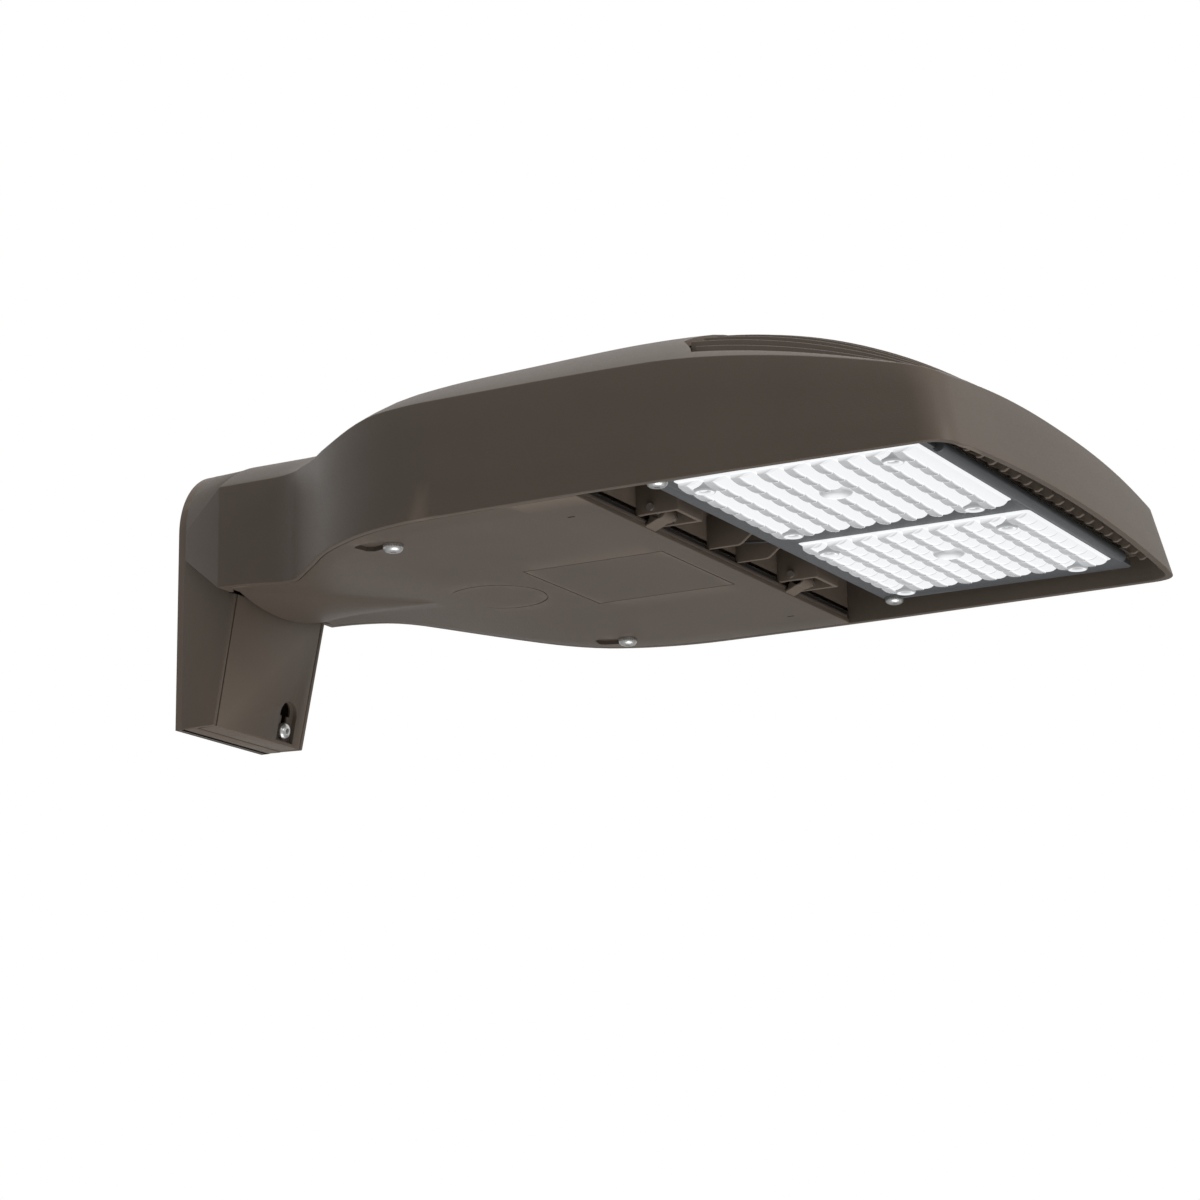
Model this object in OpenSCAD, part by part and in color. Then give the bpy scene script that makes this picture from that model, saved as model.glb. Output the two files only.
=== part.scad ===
// Shoebox area light for a square post: a die-cast housing on a wiring block,
// a hinged gear door underneath and two lens arrays behind an aluminium frame.
// Origin: pole-side face of the wiring block, midway between its two bolt holes; the
// door is level with z = 0. X runs from the post to the nose, Y across, Z up. Millimetres.

/* [Housing] */
// Half of the body's width at its widest point
body_half = 171; // [165:1:178]
// X of the nose at the lower rim
nose_x = 547; // [542:1:552]
// How far the nose leans back at its top edge
nose_lean = 9; // [4:1:12]
// Half of the arm's width
arm_half = 60; // [58:1:62]
// Height of the side wall's top edge along the body
wall_h = 64; // [60:1:68]
// Height of the roof's highest point
roof_h = 112.5; // [106:0.5:116]
// Thickness of the cast walls
wall = 4; // [3:0.5:4.5]

/* [Wiring block] */
// Half-width at the pole face
block_half = 44; // [42:0.5:45]
// Lower edge of the block
block_bottom = -64.5; // [-68:0.5:-60]
// Thickness of the plate that bolts to the post
flange_t = 6; // [5:0.5:8]
// Distance between the two pole bolt holes
bolt_pitch = 76.2; // [70:0.1:82]
// Diameter of the pole bolt holes
bolt_d = 10.5; // [9:0.5:11]
// Diameter of the wire hole
wire_hole_d = 28; // [20:1:30]

/* [Door] */
// Thickness of the gear door
door_t = 3; // [2.5:0.1:3.2]
// X of the door's hinged edge
door_front = 338; // [337.5:0.1:338.5]
// Gap between the door and the rim round it
door_gap = 0.5; // [0.4:0.1:0.8]
// Depth of the swelling under the wireway, at the block
swell = 7.2; // [5:0.1:8]

/* [Light engine] */
// Lens columns along X in one array
lens_cols = 9; // [4:1:9]
// Lens rows along Y in one array
lens_rows = 8; // [4:1:8]
// Lower face of the heat sink's plate
sink_z = 13; // [12.5:0.5:13.5]
// Distance between the cooling fins
fin_pitch = 15; // [12:0.5:18]
// Thickness of a cooling fin
fin_t = 2.5; // [2:0.1:3]

/* [Hidden] */

bronze = [0.31, 0.27, 0.23];
door_bronze = [0.37, 0.33, 0.30];
aluminium = [0.72, 0.74, 0.76];
steel = [0.80, 0.80, 0.78];
zinc = [0.62, 0.63, 0.64];
rubber = [0.10, 0.10, 0.11];
frame_grey = [0.40, 0.42, 0.44];

arm_x = 40;               // where the arm's end facet meets its side wall
neck_end = 190;           // where the neck's underside is level with the door
rear_web = [184, 187.5];  // web between the wireway and the gear chamber
front_web = [333.5, 337]; // web between the gear chamber and the light engine
ledge_z = [7, 10];        // ledge round the gear chamber, above the door gasket
arch_z = 54.5;            // centre height of the flange's round top
arch_r = 44;              // radius of the flange's round top
box_front = [43, 12];     // X and Z of the upper end of the block's sloping front
box_toe = 28.4;           // X of the lower end of the block's sloping front
box_half = 47.5;          // half-width of the block at its front
box_wall = 3;             // side walls of the block
cover_t = 2.5;            // thickness of the block cover
cover_travel = 12;        // how far the cover slides before its keyhole opens

screw_x = 206.4;          // door screws
screw_y = 132;
hinge_x = 346;            // hinge axis of the door
hinge_z = 8.5;
hinge_y = 85;
pin_r = 2;
pin_fit = 0.06;           // radial clearance of the door's knuckles on the pins

frame_x = [369, 521];     // light-engine frame
frame_y = 152;
frame_z = [7, 9.5];
window_x = [381, 517];
window_y = [5, 143];
board_x = [385, 513];
board_y = [9.5, 138.5];
board_t = 1.6;
optic_z = [7, 11.2];      // lens array: lower face of its body, top of its flange
lens_drop = 2;            // how far a lens stands below the array's body
optic_bolts = [[392, 22.5], [392, 127], [497.3, 22.5], [497.3, 127]];
frame_bolts = [[375.5, 148]];      // the frame's nose side rests on a boss without a screw
frame_rest = [514, 149];
lip = 2;                  // width of the array's flange behind the frame
sink_x = [367, 523];
sink_t = 5;
sink_bolts = [[386, 156.5], [504, 156.5]];
post_y = 90;              // tray posts
post_x = [203, 319];
tray_z = [50, 52];

// ---- outline of the housing: two rounded paths with as many points each ----
function clamp01(t) = max(0, min(1, t));
function smooth(t) = let (c = clamp01(t)) c * c * (3 - 2 * c);
function unit(v) = v / norm(v);
function xy(c) = [c[0], c[1]];
function bend(a, b, c, reach, n) =
    let (p = b + unit(a - b) * reach, q = b + unit(c - b) * reach)
    [for (i = [0:n]) let (t = i / n) (1 - t) * (1 - t) * p + 2 * t * (1 - t) * b + t * t * q];
function run(p, q, n) = n < 2 ? [] : [for (i = [1:n - 1]) p + (q - p) * i / n];

// a corner is [x, y, length of its rounding, steps before it, steps round it]
function corner(c, k) = c[k][2] == 0 ? [xy(c[k])]
    : bend(xy(c[k - 1]), xy(c[k]), xy(c[k + 1]), c[k][2], c[k][4]);
function tail(points) = points[len(points) - 1];
function outline(c) = [
    xy(c[0]),
    for (k = [1:len(c) - 2]) let (arc = corner(c, k),
        before = k == 1 ? xy(c[0]) : tail(corner(c, k - 1)))
        each concat(run(before, arc[0], c[k][3]), arc)
];
// lower rim, and the edge where the side wall meets the roof; inset moves both inwards
function rim(inset = 0) = outline([
    [flange_t, block_half + 2 - inset], [arm_x, arm_half - inset, 0, 1],
    [92, arm_half + 0.5 - inset, 16, 2, 3], [193, body_half - 2.5 - inset, 60, 3, 5],
    [345, body_half - inset, 40, 4, 3],
    [nose_x - bow - inset, body_half - 5.5 - inset, 15, 8, 4], [nose_x - 0.5 - inset, 80]]);
function brow(inset = 0) = let (x = nose_x - nose_lean) outline([
    [flange_t, block_half + 2 - inset], [arm_x, arm_half - inset, 0, 1],
    [92, arm_half + 0.5 - inset, 16, 2, 3], [193, body_half - 4 - inset, 60, 3, 5],
    [345, body_half - 2 - inset, 40, 4, 3],
    [x - bow - inset, body_half - 11 - inset, 17, 8, 4], [x - 0.5 - inset, 80]]);
function nose_bow(y) = bow * pow(y / (body_half - 5.5), 2);

// heights along X: underside, top edge of the wall, roof on the centre plane
arm_edge = 73.5;          // top edge of the arm's side wall
neck_lift = 13;           // how far the neck's underside rises towards the post
flare_dip = 7;            // dip of the wall's top edge where the arm flares out
peak_x = 341;             // X of the roof's highest point
bow = 3.5;                // how far the nose bows out between its corners
skin_wall = wall - 0.8;   // the wall above the rim is a little thinner
function under_z(x) = neck_lift * (1 - smooth((x - arm_x) / (neck_end - arm_x)));
function edge_z(x) =
    arm_edge + (wall_h - arm_edge) * smooth((x - 80) / 130)
    - flare_dip * smooth((x - 90) / 60) * (1 - smooth((x - 160) / 55))
    - 27.5 * pow(clamp01((x - 380) / 160), 1.7);
function ridge_z(x) =
    x < peak_x ? roof_h - 14 * pow(clamp01((peak_x - x) / 251), 1.3)
               : roof_h - 70 * pow((x - peak_x) / 199, 2.4);
function roof_power(x) = 2 - 0.7 * smooth((x - 85) / 30) + 1.1 * smooth((x - 150) / 70);
brow_table = [for (p = brow()) if (p[1] > body_half - 30 || p[0] < 300) p];
rim_table = [for (p = rim()) if (p[1] > body_half - 15 || p[0] < 300) p];
function side_y(x, inset) = lookup(x, rim_table) - inset;
function roof_z(x, y) = edge_z(x)
    + (ridge_z(x) - edge_z(x)) * (1 - pow(abs(y) / lookup(x, brow_table), roof_power(x)));

// ---- the housing's skin as one closed mesh ----
roof_steps = 7;
// one ring from the rim up the wall and over the roof to the centre plane
function rear_half(b, lift, drop) = concat([[b[0], b[1], arch_z - 17.6 + lift]],
    [for (k = [0:roof_steps]) let (a = 90 * k / roof_steps)
        [b[0], b[1] * cos(a), arch_z + (arch_r - drop) * sin(a)]]);
function ring_half(b, t, lift, drop, nose) =
    let (edge = edge_z(t[0]) - drop * 0.6, top = ridge_z(t[0]) - drop)
    concat([[b[0], b[1], under_z(b[0]) + lift]],
        [for (k = [0:roof_steps]) let (y = t[1] * (1 - k / roof_steps))
            [nose > 0 ? nose - nose_bow(y) : t[0], y,
             edge + (top - edge) * (1 - pow(y / t[1], roof_power(t[0])))]]);
function both_sides(half) = concat(half,
    [for (k = [len(half) - 2:-1:0]) [half[k][0], -half[k][1], half[k][2]]]);

module skin(inset, lift, drop, rear) {
    b = rim(inset);
    t = brow(inset);
    last = len(b) - 1;
    top_x = nose_x - nose_lean - inset;
    rings = [for (i = [0:last]) both_sides(
        i == 0 ? rear_half([rear, b[0][1]], lift, drop)
               : ring_half(b[i], t[i], lift, drop, i == last ? top_x : 0))];
    n = len(rings[0]);
    m = 2 * roof_steps;
    end = last * n;
    // extra points along the bowed lower edge of the nose
    toe = [for (k = [1:m - 1]) let (y = b[last][1] * (1 - 2 * k / m))
        [nose_x - inset - nose_bow(y), y, lift]];
    low = concat([end], [for (k = [1:m - 1]) end + n + k - 1], [end + n - 1]);
    sides = [for (i = [0:last - 1], j = [0:n - 1])
        let (a = i * n + j, c = i * n + (j + 1) % n) each [[a, a + n, c], [c, a + n, c + n]]];
    rear_cap = [for (j = [0:roof_steps]) each
        [[j, j + 1, n - 2 - j], [j, n - 2 - j, n - 1 - j]]];
    nose = [for (k = [0:m - 1]) let (top = end + 1 + k) each
        [[low[k], low[k + 1], top], [low[k + 1], top + 1, top]]];
    base = [for (k = [0:roof_steps - 1]) each
        [[low[k], low[m - k], low[k + 1]], [low[k + 1], low[m - k], low[m - k - 1]]]];
    polyhedron(concat([for (r = rings) each r], toe),
        [for (f = concat(sides, rear_cap, nose, base))
            if (f[0] != f[1] && f[1] != f[2] && f[0] != f[2]) f]);
}

// points along one side of the space inside the rim
function side_run(inset, x0, x1, n) =
    [for (i = [0:n]) let (x = x0 + (x1 - x0) * i / n) [x, side_y(x, inset)]];
module two_edges(edge) polygon(concat(edge,
    [for (k = [len(edge) - 1:-1:0]) [edge[k][0], -edge[k][1]]]));
mouth_x = 44;
neck_steps = 14;
// the housing's mouth and the door share these stations, so the gap between them is even
function body_run(inset) = side_run(inset, neck_end + 10, 330, 10);
module mouth() two_edges(concat(
    side_run(wall, mouth_x, neck_end, neck_steps), body_run(wall),
    [for (p = rim(wall)) if (p[0] > 335) p],
    [for (y = [120:-30:0]) [nose_x - wall - nose_bow(y), y]]));
module plan(inset, x0, x1) two_edges(side_run(inset, x0, x1, 16));

module two_sides() {
    children();
    mirror([0, 1, 0]) children();
}
module pan_screw(head_r, head_h, shank_r, shank_l) {
    translate([0, 0, -head_h]) cylinder(r1 = head_r * 0.62, r2 = head_r, h = head_h * 0.6, $fn = 32);
    translate([0, 0, -head_h * 0.4]) cylinder(r = head_r, h = head_h * 0.4, $fn = 32);
    cylinder(r = shank_r, h = shank_l, $fn = 24);
}
// a vertical plate given by its X-Z outline, centred on y
module upright(points, y, thick) {
    translate([0, y + thick / 2, 0]) rotate([90, 0, 0])
        linear_extrude(thick) polygon(points);
}

// ---- housing ----
arm_bolt_angles = [22, 90, 158];   // screws that hold the wiring block, round its arch
module at_arm_bolts() for (a = arm_bolt_angles)
    translate([0, 34 * cos(a), arch_z + 34 * sin(a)]) rotate([a - 90, 0, 0])
        rotate([0, 90, 0]) children();
// the space inside the skin, open below
module cavity() {
    skin(skin_wall, 3.5, 3, flange_t - 1);
    translate([0, 0, -5]) linear_extrude(10) mouth();
    linear_extrude(20) two_edges(side_run(wall, mouth_x, neck_end, neck_steps));
    translate([flange_t - 1, -block_half, 5]) cube([40, 2 * block_half, 40]);
}
// pads for the heat sink's screws, and bosses for the arm's
module shell_bosses() {
    two_sides() for (p = sink_bolts)
        translate([p[0] - 9, p[1] - 5, sink_z + sink_t]) cube([18, 40, 12]);
    at_arm_bolts() {
        translate([0, 0, flange_t - 0.5]) cylinder(r = 7, h = 22.5, $fn = 32);
        translate([-40, -2.5, flange_t - 0.5]) cube([40, 5, 22.5]);
    }
}
// walls, ledge, screw bosses and tray posts of the gear chamber, up to the skin
module chamber_shapes() {
    for (w = [rear_web, front_web])
        translate([w[0], -200, ledge_z[0]]) cube([w[1] - w[0], 400, 130]);
    translate([0, 0, ledge_z[0]]) linear_extrude(ledge_z[1] - ledge_z[0]) difference() {
        plan(wall - 2, rear_web[0], front_web[1]);
        plan(wall + 10, rear_web[1] + 9, front_web[0] - 9);
    }
    two_sides() {
        translate([screw_x, screw_y, ledge_z[0]]) cylinder(r = 6.5, h = 120, $fn = 32);
        for (x = post_x)
            translate([x, post_y, tray_z[1]]) cylinder(r = 5, h = 100, $fn = 32);
    }
}
// air opening over the cooling fins; its rear corners are cut off at a slant
function vent_nose(y) = nose_x - nose_lean - 5 - nose_bow(y);
vent = concat([[383, 130], [397, 150], [401, 157], [vent_nose(152) - 8, 156]],
              [for (y = [149, 120, 90, 60, 30, 0]) [vent_nose(y), y]]);

module housing() color(bronze) difference() {
    skin(0, 0, 0, flange_t);
    difference() {
        cavity();
        shell_bosses();
    }
    translate([0, 0, 30]) linear_extrude(120) two_edges(vent);
    two_sides() for (p = sink_bolts)
        translate([p[0], p[1], sink_z]) cylinder(r = 2.1, h = 15, $fn = 24);
    at_arm_bolts() cylinder(r = 2.5, h = 24, $fn = 32);
}
module gear_walls() color(bronze) difference() {
    intersection() {
        cavity();
        chamber_shapes();
    }
    translate([rear_web[0] - 1, 0, 46]) rotate([0, 90, 0]) cylinder(r = 11, h = 6, $fn = 48);
    for (y = [-lead_y, lead_y])
        translate([front_web[0] - 1, y, 14]) rotate([0, 90, 0]) cylinder(r = 3, h = 6, $fn = 24);
    two_sides() {
        translate([screw_x, screw_y, 0]) cylinder(r = 3.2, h = 18, $fn = 32);
        for (x = post_x) translate([x, post_y, tray_z[1] - 1]) cylinder(r = 2, h = 12, $fn = 24);
    }
}

// ---- wiring block ----
bolt_z = [-bolt_pitch / 2, bolt_pitch / 2];
module block_side() {
    // a side wall that widens from the pole face to the sloping front
    wedge = [[0, block_bottom], [0, arch_z - 13.7], [arm_x, neck_lift - 0.3],
             [box_front[0], box_front[1]], [box_toe, block_bottom]];
    intersection() {
        upright(wedge, box_half - 5, 20);
        translate([0, 0, -100]) linear_extrude(200) polygon([
            [0, block_half - box_wall], [0, block_half], [box_front[0], box_half],
            [box_front[0], box_half - box_wall]]);
    }
}
module mounting_block() color(bronze) difference() {
    union() {
        translate([0, 0, arch_z]) rotate([0, 90, 0]) cylinder(r = arch_r, h = flange_t, $fn = 96);
        translate([0, -arch_r, block_bottom])
            cube([flange_t, 2 * arch_r, arch_z - block_bottom]);
        two_sides() block_side();
        translate([0, -block_half, block_bottom]) cube([14, 2 * block_half, box_wall]);
        // boss that takes the cover screw
        translate([flange_t - 1, cover_screw_at[0] - 5, cover_screw_at[1] - 5])
            cube([18.5, 10, 10]);
    }
    for (z = bolt_z) translate([-1, 0, z]) rotate([0, 90, 0])
        cylinder(d = bolt_d, h = flange_t + 2, $fn = 48);
    translate([-1, 0, 0]) rotate([0, 90, 0])
        cylinder(d = wire_hole_d, h = flange_t + 2, $fn = 64);
    at_arm_bolts() translate([0, 0, -1]) {
        cylinder(r = 5.5, h = 4.2, $fn = 32);
        cylinder(r = 2.5, h = flange_t + 2, $fn = 32);
    }
    at_cover_screw() cylinder(r = 2.05, h = 16, $fn = 24);
}
module arm_screws() color(steel)
    at_arm_bolts() translate([0, 0, 0.2]) {
        cylinder(r = 5.2, h = 3, $fn = 32);
        cylinder(r = 2.5, h = 22, $fn = 24);
    }
terminal_y = 30;
module terminal_block() color([0.85, 0.84, 0.80]) difference() {
    translate([flange_t, terminal_y - 9, -30]) cube([15, 18, 42]);
    for (z = [-22:13:4]) translate([flange_t + 9, terminal_y, z]) rotate([0, 90, 0])
        cylinder(r = 3.2, h = 10, $fn = 24);
}
module ground_screw() color([0.25, 0.55, 0.30]) translate([flange_t, -30, -8])
    rotate([0, 90, 0]) cylinder(r = 4, h = 4, $fn = 6);

// tube through points: rings square to the path's average direction
function heading(p, i) = unit(p[min(i + 1, len(p) - 1)] - p[max(i - 1, 0)]);
module tube(p, r) {
    n = 8;
    rings = [for (i = [0:len(p) - 1]) let (d = heading(p, i), u = unit(cross(d, [0, 1, 0])),
        v = cross(d, u)) each [for (k = [0:n - 1]) p[i] + r * (u * cos(360 * k / n) + v * sin(360 * k / n))]];
    m = len(p) - 1;
    polyhedron(rings, concat(
        [for (i = [0:m - 1], k = [0:n - 1]) let (a = i * n + k, b = i * n + (k + 1) % n)
            each [[a, a + n, b], [b, a + n, b + n]]],
        [[for (k = [0:n - 1]) k]], [[for (k = [n - 1:-1:0]) m * n + k]]));
}
// supply leads: out of the terminals, up the wireway, through the grommet to the driver
lead_route = [[29, 36], [40, 48], [60, 58], [90, 62],
              [125, 58], [155, 50], [176, 46], [190, 46], [200, 42], [208, 36], [214.9, 36]];
function lead_side(k, x) = x > 150 ? 4 * k : x > 50 ? 7 * k : x > 35 ? 12 + 7 * k : 22 + 6 * k;
module supply_leads() for (k = [-1:1])
    color([[0.1, 0.1, 0.1], [0.2, 0.45, 0.25], [0.85, 0.85, 0.85]][k + 1])
        let (z = 4 - 13 * (k + 1), x = 24 + 3.6 * (k + 1)) tube(concat(
            [[flange_t + 15.1, terminal_y, z], [x - 0.5, terminal_y, z + 6], [x, 28, 18]],
            [for (p = lead_route) [p[0], lead_side(k, p[0]), p[1]]]), 1.5);
module wire_grommet() color(rubber) translate([(rear_web[0] + rear_web[1]) / 2, 0, 46])
    rotate([0, 90, 0]) rotate_extrude($fn = 48) polygon([
        [8, -4], [13, -4], [13, -1.95], [10.9, -1.95], [10.9, 1.95], [13, 1.95], [13, 4], [8, 4]]);

// ---- gear ----
module driver_tray() color(zinc) difference() {
    translate([196, -102, tray_z[0]]) cube([130, 204, tray_z[1] - tray_z[0]]);
    two_sides() for (x = post_x) translate([x, post_y, 0]) cylinder(r = 2.3, h = 80, $fn = 24);
    for (x = [224, 266]) two_sides() translate([x, 79, 0]) cylinder(r = 2, h = 80, $fn = 24);
}
module tray_screws() color(steel) two_sides() for (x = post_x)
    translate([x, post_y, tray_z[0]]) pan_screw(4, 2.4, 2, 12);
module driver() color([0.86, 0.87, 0.88]) difference() {
    union() {
        translate([215, -70, 14]) cube([60, 140, 36]);
        translate([215, -85, 47]) cube([60, 170, 3]);
    }
    for (x = [224, 266]) two_sides() translate([x, 79, 40]) cylinder(r = 2.2, h = 20, $fn = 24);
}
module driver_screws() color(steel) for (x = [224, 266]) two_sides()
    translate([x, 79, 47]) pan_screw(3.8, 2.2, 2, 5);
module surge_protector() color([0.75, 0.74, 0.70]) translate([286, -30, 20]) cube([34, 60, 30]);
module door_gasket() color(rubber) translate([0, 0, door_t + 0.3])
    linear_extrude(ledge_z[0] - door_t - 0.3) difference() {
        plan(wall + 2, rear_web[0] + 0.5, front_web[1] - 0.5);
        plan(wall + 8.5, rear_web[1] + 3, front_web[0] - 3);
    }

// ---- light engine ----
fin_rows = [for (k = [0:9]) fin_pitch * (k + 0.5)];
function fin_start(y) = max(386.5, 397 - (150 - y) * 0.7 + 5);
// a fin stands on the heat sink's plate and hooks down over the plate's nose edge
function fin_shape(y) = let (x0 = fin_start(y), x1 = vent_nose(y) - 3) concat(
    [[x0, sink_z + sink_t], [sink_x[1] + 0.3, sink_z + sink_t], [sink_x[1] + 0.3, sink_z],
     [x1 + 6, 8], [x1 + 3, 30]],
    [for (i = [0:12]) let (x = x1 + (x0 - x1) * i / 12) [x, roof_z(x, y) - 1.2]]);
module sink_fins() color(bronze) two_sides() for (y = fin_rows) upright(fin_shape(y), y, fin_t);
module heat_sink() color(bronze) difference() {
    union() {
        translate([sink_x[0], -frame_y, sink_z]) cube([sink_x[1] - sink_x[0], 2 * frame_y, sink_t]);
        two_sides() {
            for (p = sink_bolts) translate([p[0] - 8, frame_y - 1, sink_z]) cube([16, 10, sink_t]);
            for (p = concat(frame_bolts, [frame_rest]))
                translate([p[0], p[1], frame_z[1]]) cylinder(r = 3.4, h = sink_t, $fn = 32);
        }
    }
    two_sides() {
        for (p = sink_bolts) translate([p[0], p[1], 0]) cylinder(r = 2.1, h = 40, $fn = 24);
        for (p = frame_bolts) translate([p[0], p[1], 0]) cylinder(r = 2, h = 30, $fn = 24);
        for (p = optic_bolts) translate([p[0], p[1], 0]) cylinder(r = 1.5, h = 17, $fn = 24);
    }
}
module sink_screws() color(steel) two_sides() for (p = sink_bolts)
    translate([p[0], p[1], sink_z]) pan_screw(3.8, 2.6, 2.1, 15);

module led_board() difference() {
    translate([board_x[0], board_y[0], sink_z - board_t])
        cube([board_x[1] - board_x[0], board_y[1] - board_y[0], board_t]);
    for (p = optic_bolts) translate([p[0], p[1], 0]) cylinder(r = 1.8, h = 30, $fn = 24);
}
// the lenses stand in a field that starts further from the middle than the window does
lens_from = [window_x[0] - 1, window_y[0] + 10.6];
lens_step = [(window_x[1] - 2 - lens_from[0]) / lens_cols, (window_y[1] - 7 - lens_from[1]) / lens_rows];
function lens_at(i, j) = lens_from + [lens_step[0] * (i + 0.5), lens_step[1] * (j + 0.5)];
function clear_of_bolts(p) = min([for (b = optic_bolts) norm(p - b)]) > 9;
lens_list = [for (i = [0:lens_cols - 1], j = [0:lens_rows - 1])
    if (clear_of_bolts(lens_at(i, j))) lens_at(i, j)];
module leds() for (p = lens_list)
    translate([p[0] - 1.5, p[1] - 1.5, sink_z - board_t - 0.6]) cube([3, 3, 0.6]);
lead_y = 10;              // the two LED leads run at this distance either side of the middle
window = [window_x[1] - window_x[0], window_y[1] - window_y[0]];
module optic_gasket() translate([0, 0, optic_z[1]]) linear_extrude(sink_z - optic_z[1]) difference() {
    translate([window_x[0] - lip, window_y[0] - lip]) square(window + 2 * [lip, lip]);
    translate([window_x[0] + 1, window_y[0] + 1]) square(window - [2, 2]);
    translate([window_x[0] - lip - 1, lead_y - 1]) square([lip + 3, 2]);
}
module optic() difference() {
    w = window;
    union() {
        translate([window_x[0] - lip, window_y[0] - lip, frame_z[1]])
            cube([w[0] + 2 * lip, w[1] + 2 * lip, optic_z[1] - frame_z[1]]);
        translate([window_x[0] + 0.3, window_y[0] + 0.3, optic_z[0]])
            cube([w[0] - 0.6, w[1] - 0.6, optic_z[1] - optic_z[0]]);
        for (p = lens_list) translate([p[0], p[1], optic_z[0] - lens_drop])
            cylinder(r1 = 4.2, r2 = 6.2, h = lens_drop + 0.5, $fn = 24);
        for (p = optic_bolts)
            translate([p[0], p[1], optic_z[0] - 1.2]) cylinder(r = 5.5, h = 1.7, $fn = 32);
    }
    difference() {
        translate([window_x[0] + 3, window_y[0] + 3, 8.8]) cube([w[0] - 6, w[1] - 6, 5]);
        for (p = optic_bolts) translate([p[0], p[1], 8]) cylinder(r = 3.6, h = 3.4, $fn = 24);
    }
    for (p = optic_bolts) translate([p[0], p[1], 0]) {
        cylinder(r = 1.8, h = 20, $fn = 24);
        translate([0, 0, optic_z[0] - 1.5]) cylinder(r = 3.2, h = 2, $fn = 24);
    }
}
module optic_screws() color(steel) two_sides() for (p = optic_bolts)
    translate([p[0], p[1], optic_z[0] + 0.5]) pan_screw(2.9, 1.6, 1.5, 9);
module led_board_near() color("white") mirror([0, 1, 0]) led_board();
module led_board_far() color("white") led_board();
module leds_near() color([0.95, 0.90, 0.55]) mirror([0, 1, 0]) leds();
module leds_far() color([0.95, 0.90, 0.55]) leds();
module optic_gasket_near() color(rubber) mirror([0, 1, 0]) optic_gasket();
module optic_gasket_far() color(rubber) optic_gasket();
module optic_near() color([0.95, 0.97, 1.0]) mirror([0, 1, 0]) optic();
module optic_far() color([0.95, 0.97, 1.0]) optic();

bead_x = 522.5;           // rolled bead along the frame's nose edge
module led_frame() color(frame_grey) difference() {
    union() {
        translate([frame_x[0], -frame_y, frame_z[0]])
            cube([frame_x[1] - frame_x[0], 2 * frame_y, frame_z[1] - frame_z[0]]);
        translate([bead_x, 128, frame_z[0] + 1]) rotate([90, 0, 0])
            cylinder(r = 3.5, h = 256, $fn = 32);
    }
    two_sides() {
        translate([window_x[0], window_y[0], 0])
            cube([window_x[1] - window_x[0], window_y[1] - window_y[0], 20]);
        for (p = frame_bolts) translate([p[0], p[1], 0]) cylinder(r = 2.2, h = 20, $fn = 24);
    }
}
module frame_screws() color(steel) two_sides() for (p = frame_bolts)
    translate([p[0], p[1], frame_z[0]]) pan_screw(5.6, 3.6, 2, 10);

// ---- bay between the door and the light engine ----
rib_y = [-16, 19];
rib_t = 2.4;
rib_shape = [[front_web[1], 5], [357, 5], [366, 11.5], [366, 24], [front_web[1], 24]];
module wire_channel() color(bronze) {
    for (y = rib_y) upright(rib_shape, y, rib_t);
    translate([front_web[1], rib_y[0], 21.6]) cube([29, rib_y[1] - rib_y[0], 2.4]);
}
// out of the driver, under the surge protector, through the web and over each array's flange
module led_leads() for (k = [0, 1]) color([[0.75, 0.10, 0.10], [0.1, 0.1, 0.1]][k])
    tube([for (p = [[275.1, 26, 5], [284, 20, 5], [300, 15, 2], [325, 14, 1], [345, 14, 1],
                    [358, 12.6, 1], [367, 12.1, 1], [384.9, 12.1, 1]])
        [p[0], (2 * k - 1) * lead_y * p[2], p[1]]], 0.8);

ear_gap = 24;             // clear width between a bracket's ears
ear_t = 2.5;
bracket_x = [front_web[1], 362];
module hinge_bracket() translate([0, hinge_y, 0]) difference() {
    union() {
        two_sides() upright([[bracket_x[0], 5], [bracket_x[1], 5], [bracket_x[1], 26],
                             [bracket_x[0], 34]], (ear_gap + ear_t) / 2, ear_t);
        translate([bracket_x[1] - 2.5, -ear_gap / 2 - 1, 5]) cube([2.5, ear_gap + 2, 12]);
        translate([bracket_x[0], -ear_gap / 2 - 1, 16]) cube([2.5, ear_gap + 2, 18]);
    }
    translate([hinge_x, 20, hinge_z]) rotate([90, 0, 0]) cylinder(r = pin_r, h = 40, $fn = 32);
}
module hinge_bracket_near() color(bronze) mirror([0, 1, 0]) hinge_bracket();
module hinge_bracket_far() color(bronze) hinge_bracket();
module hinge_pins() color(steel) two_sides()
    translate([hinge_x, hinge_y + 16, hinge_z]) rotate([90, 0, 0])
        cylinder(r = pin_r, h = 32, $fn = 32);

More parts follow.
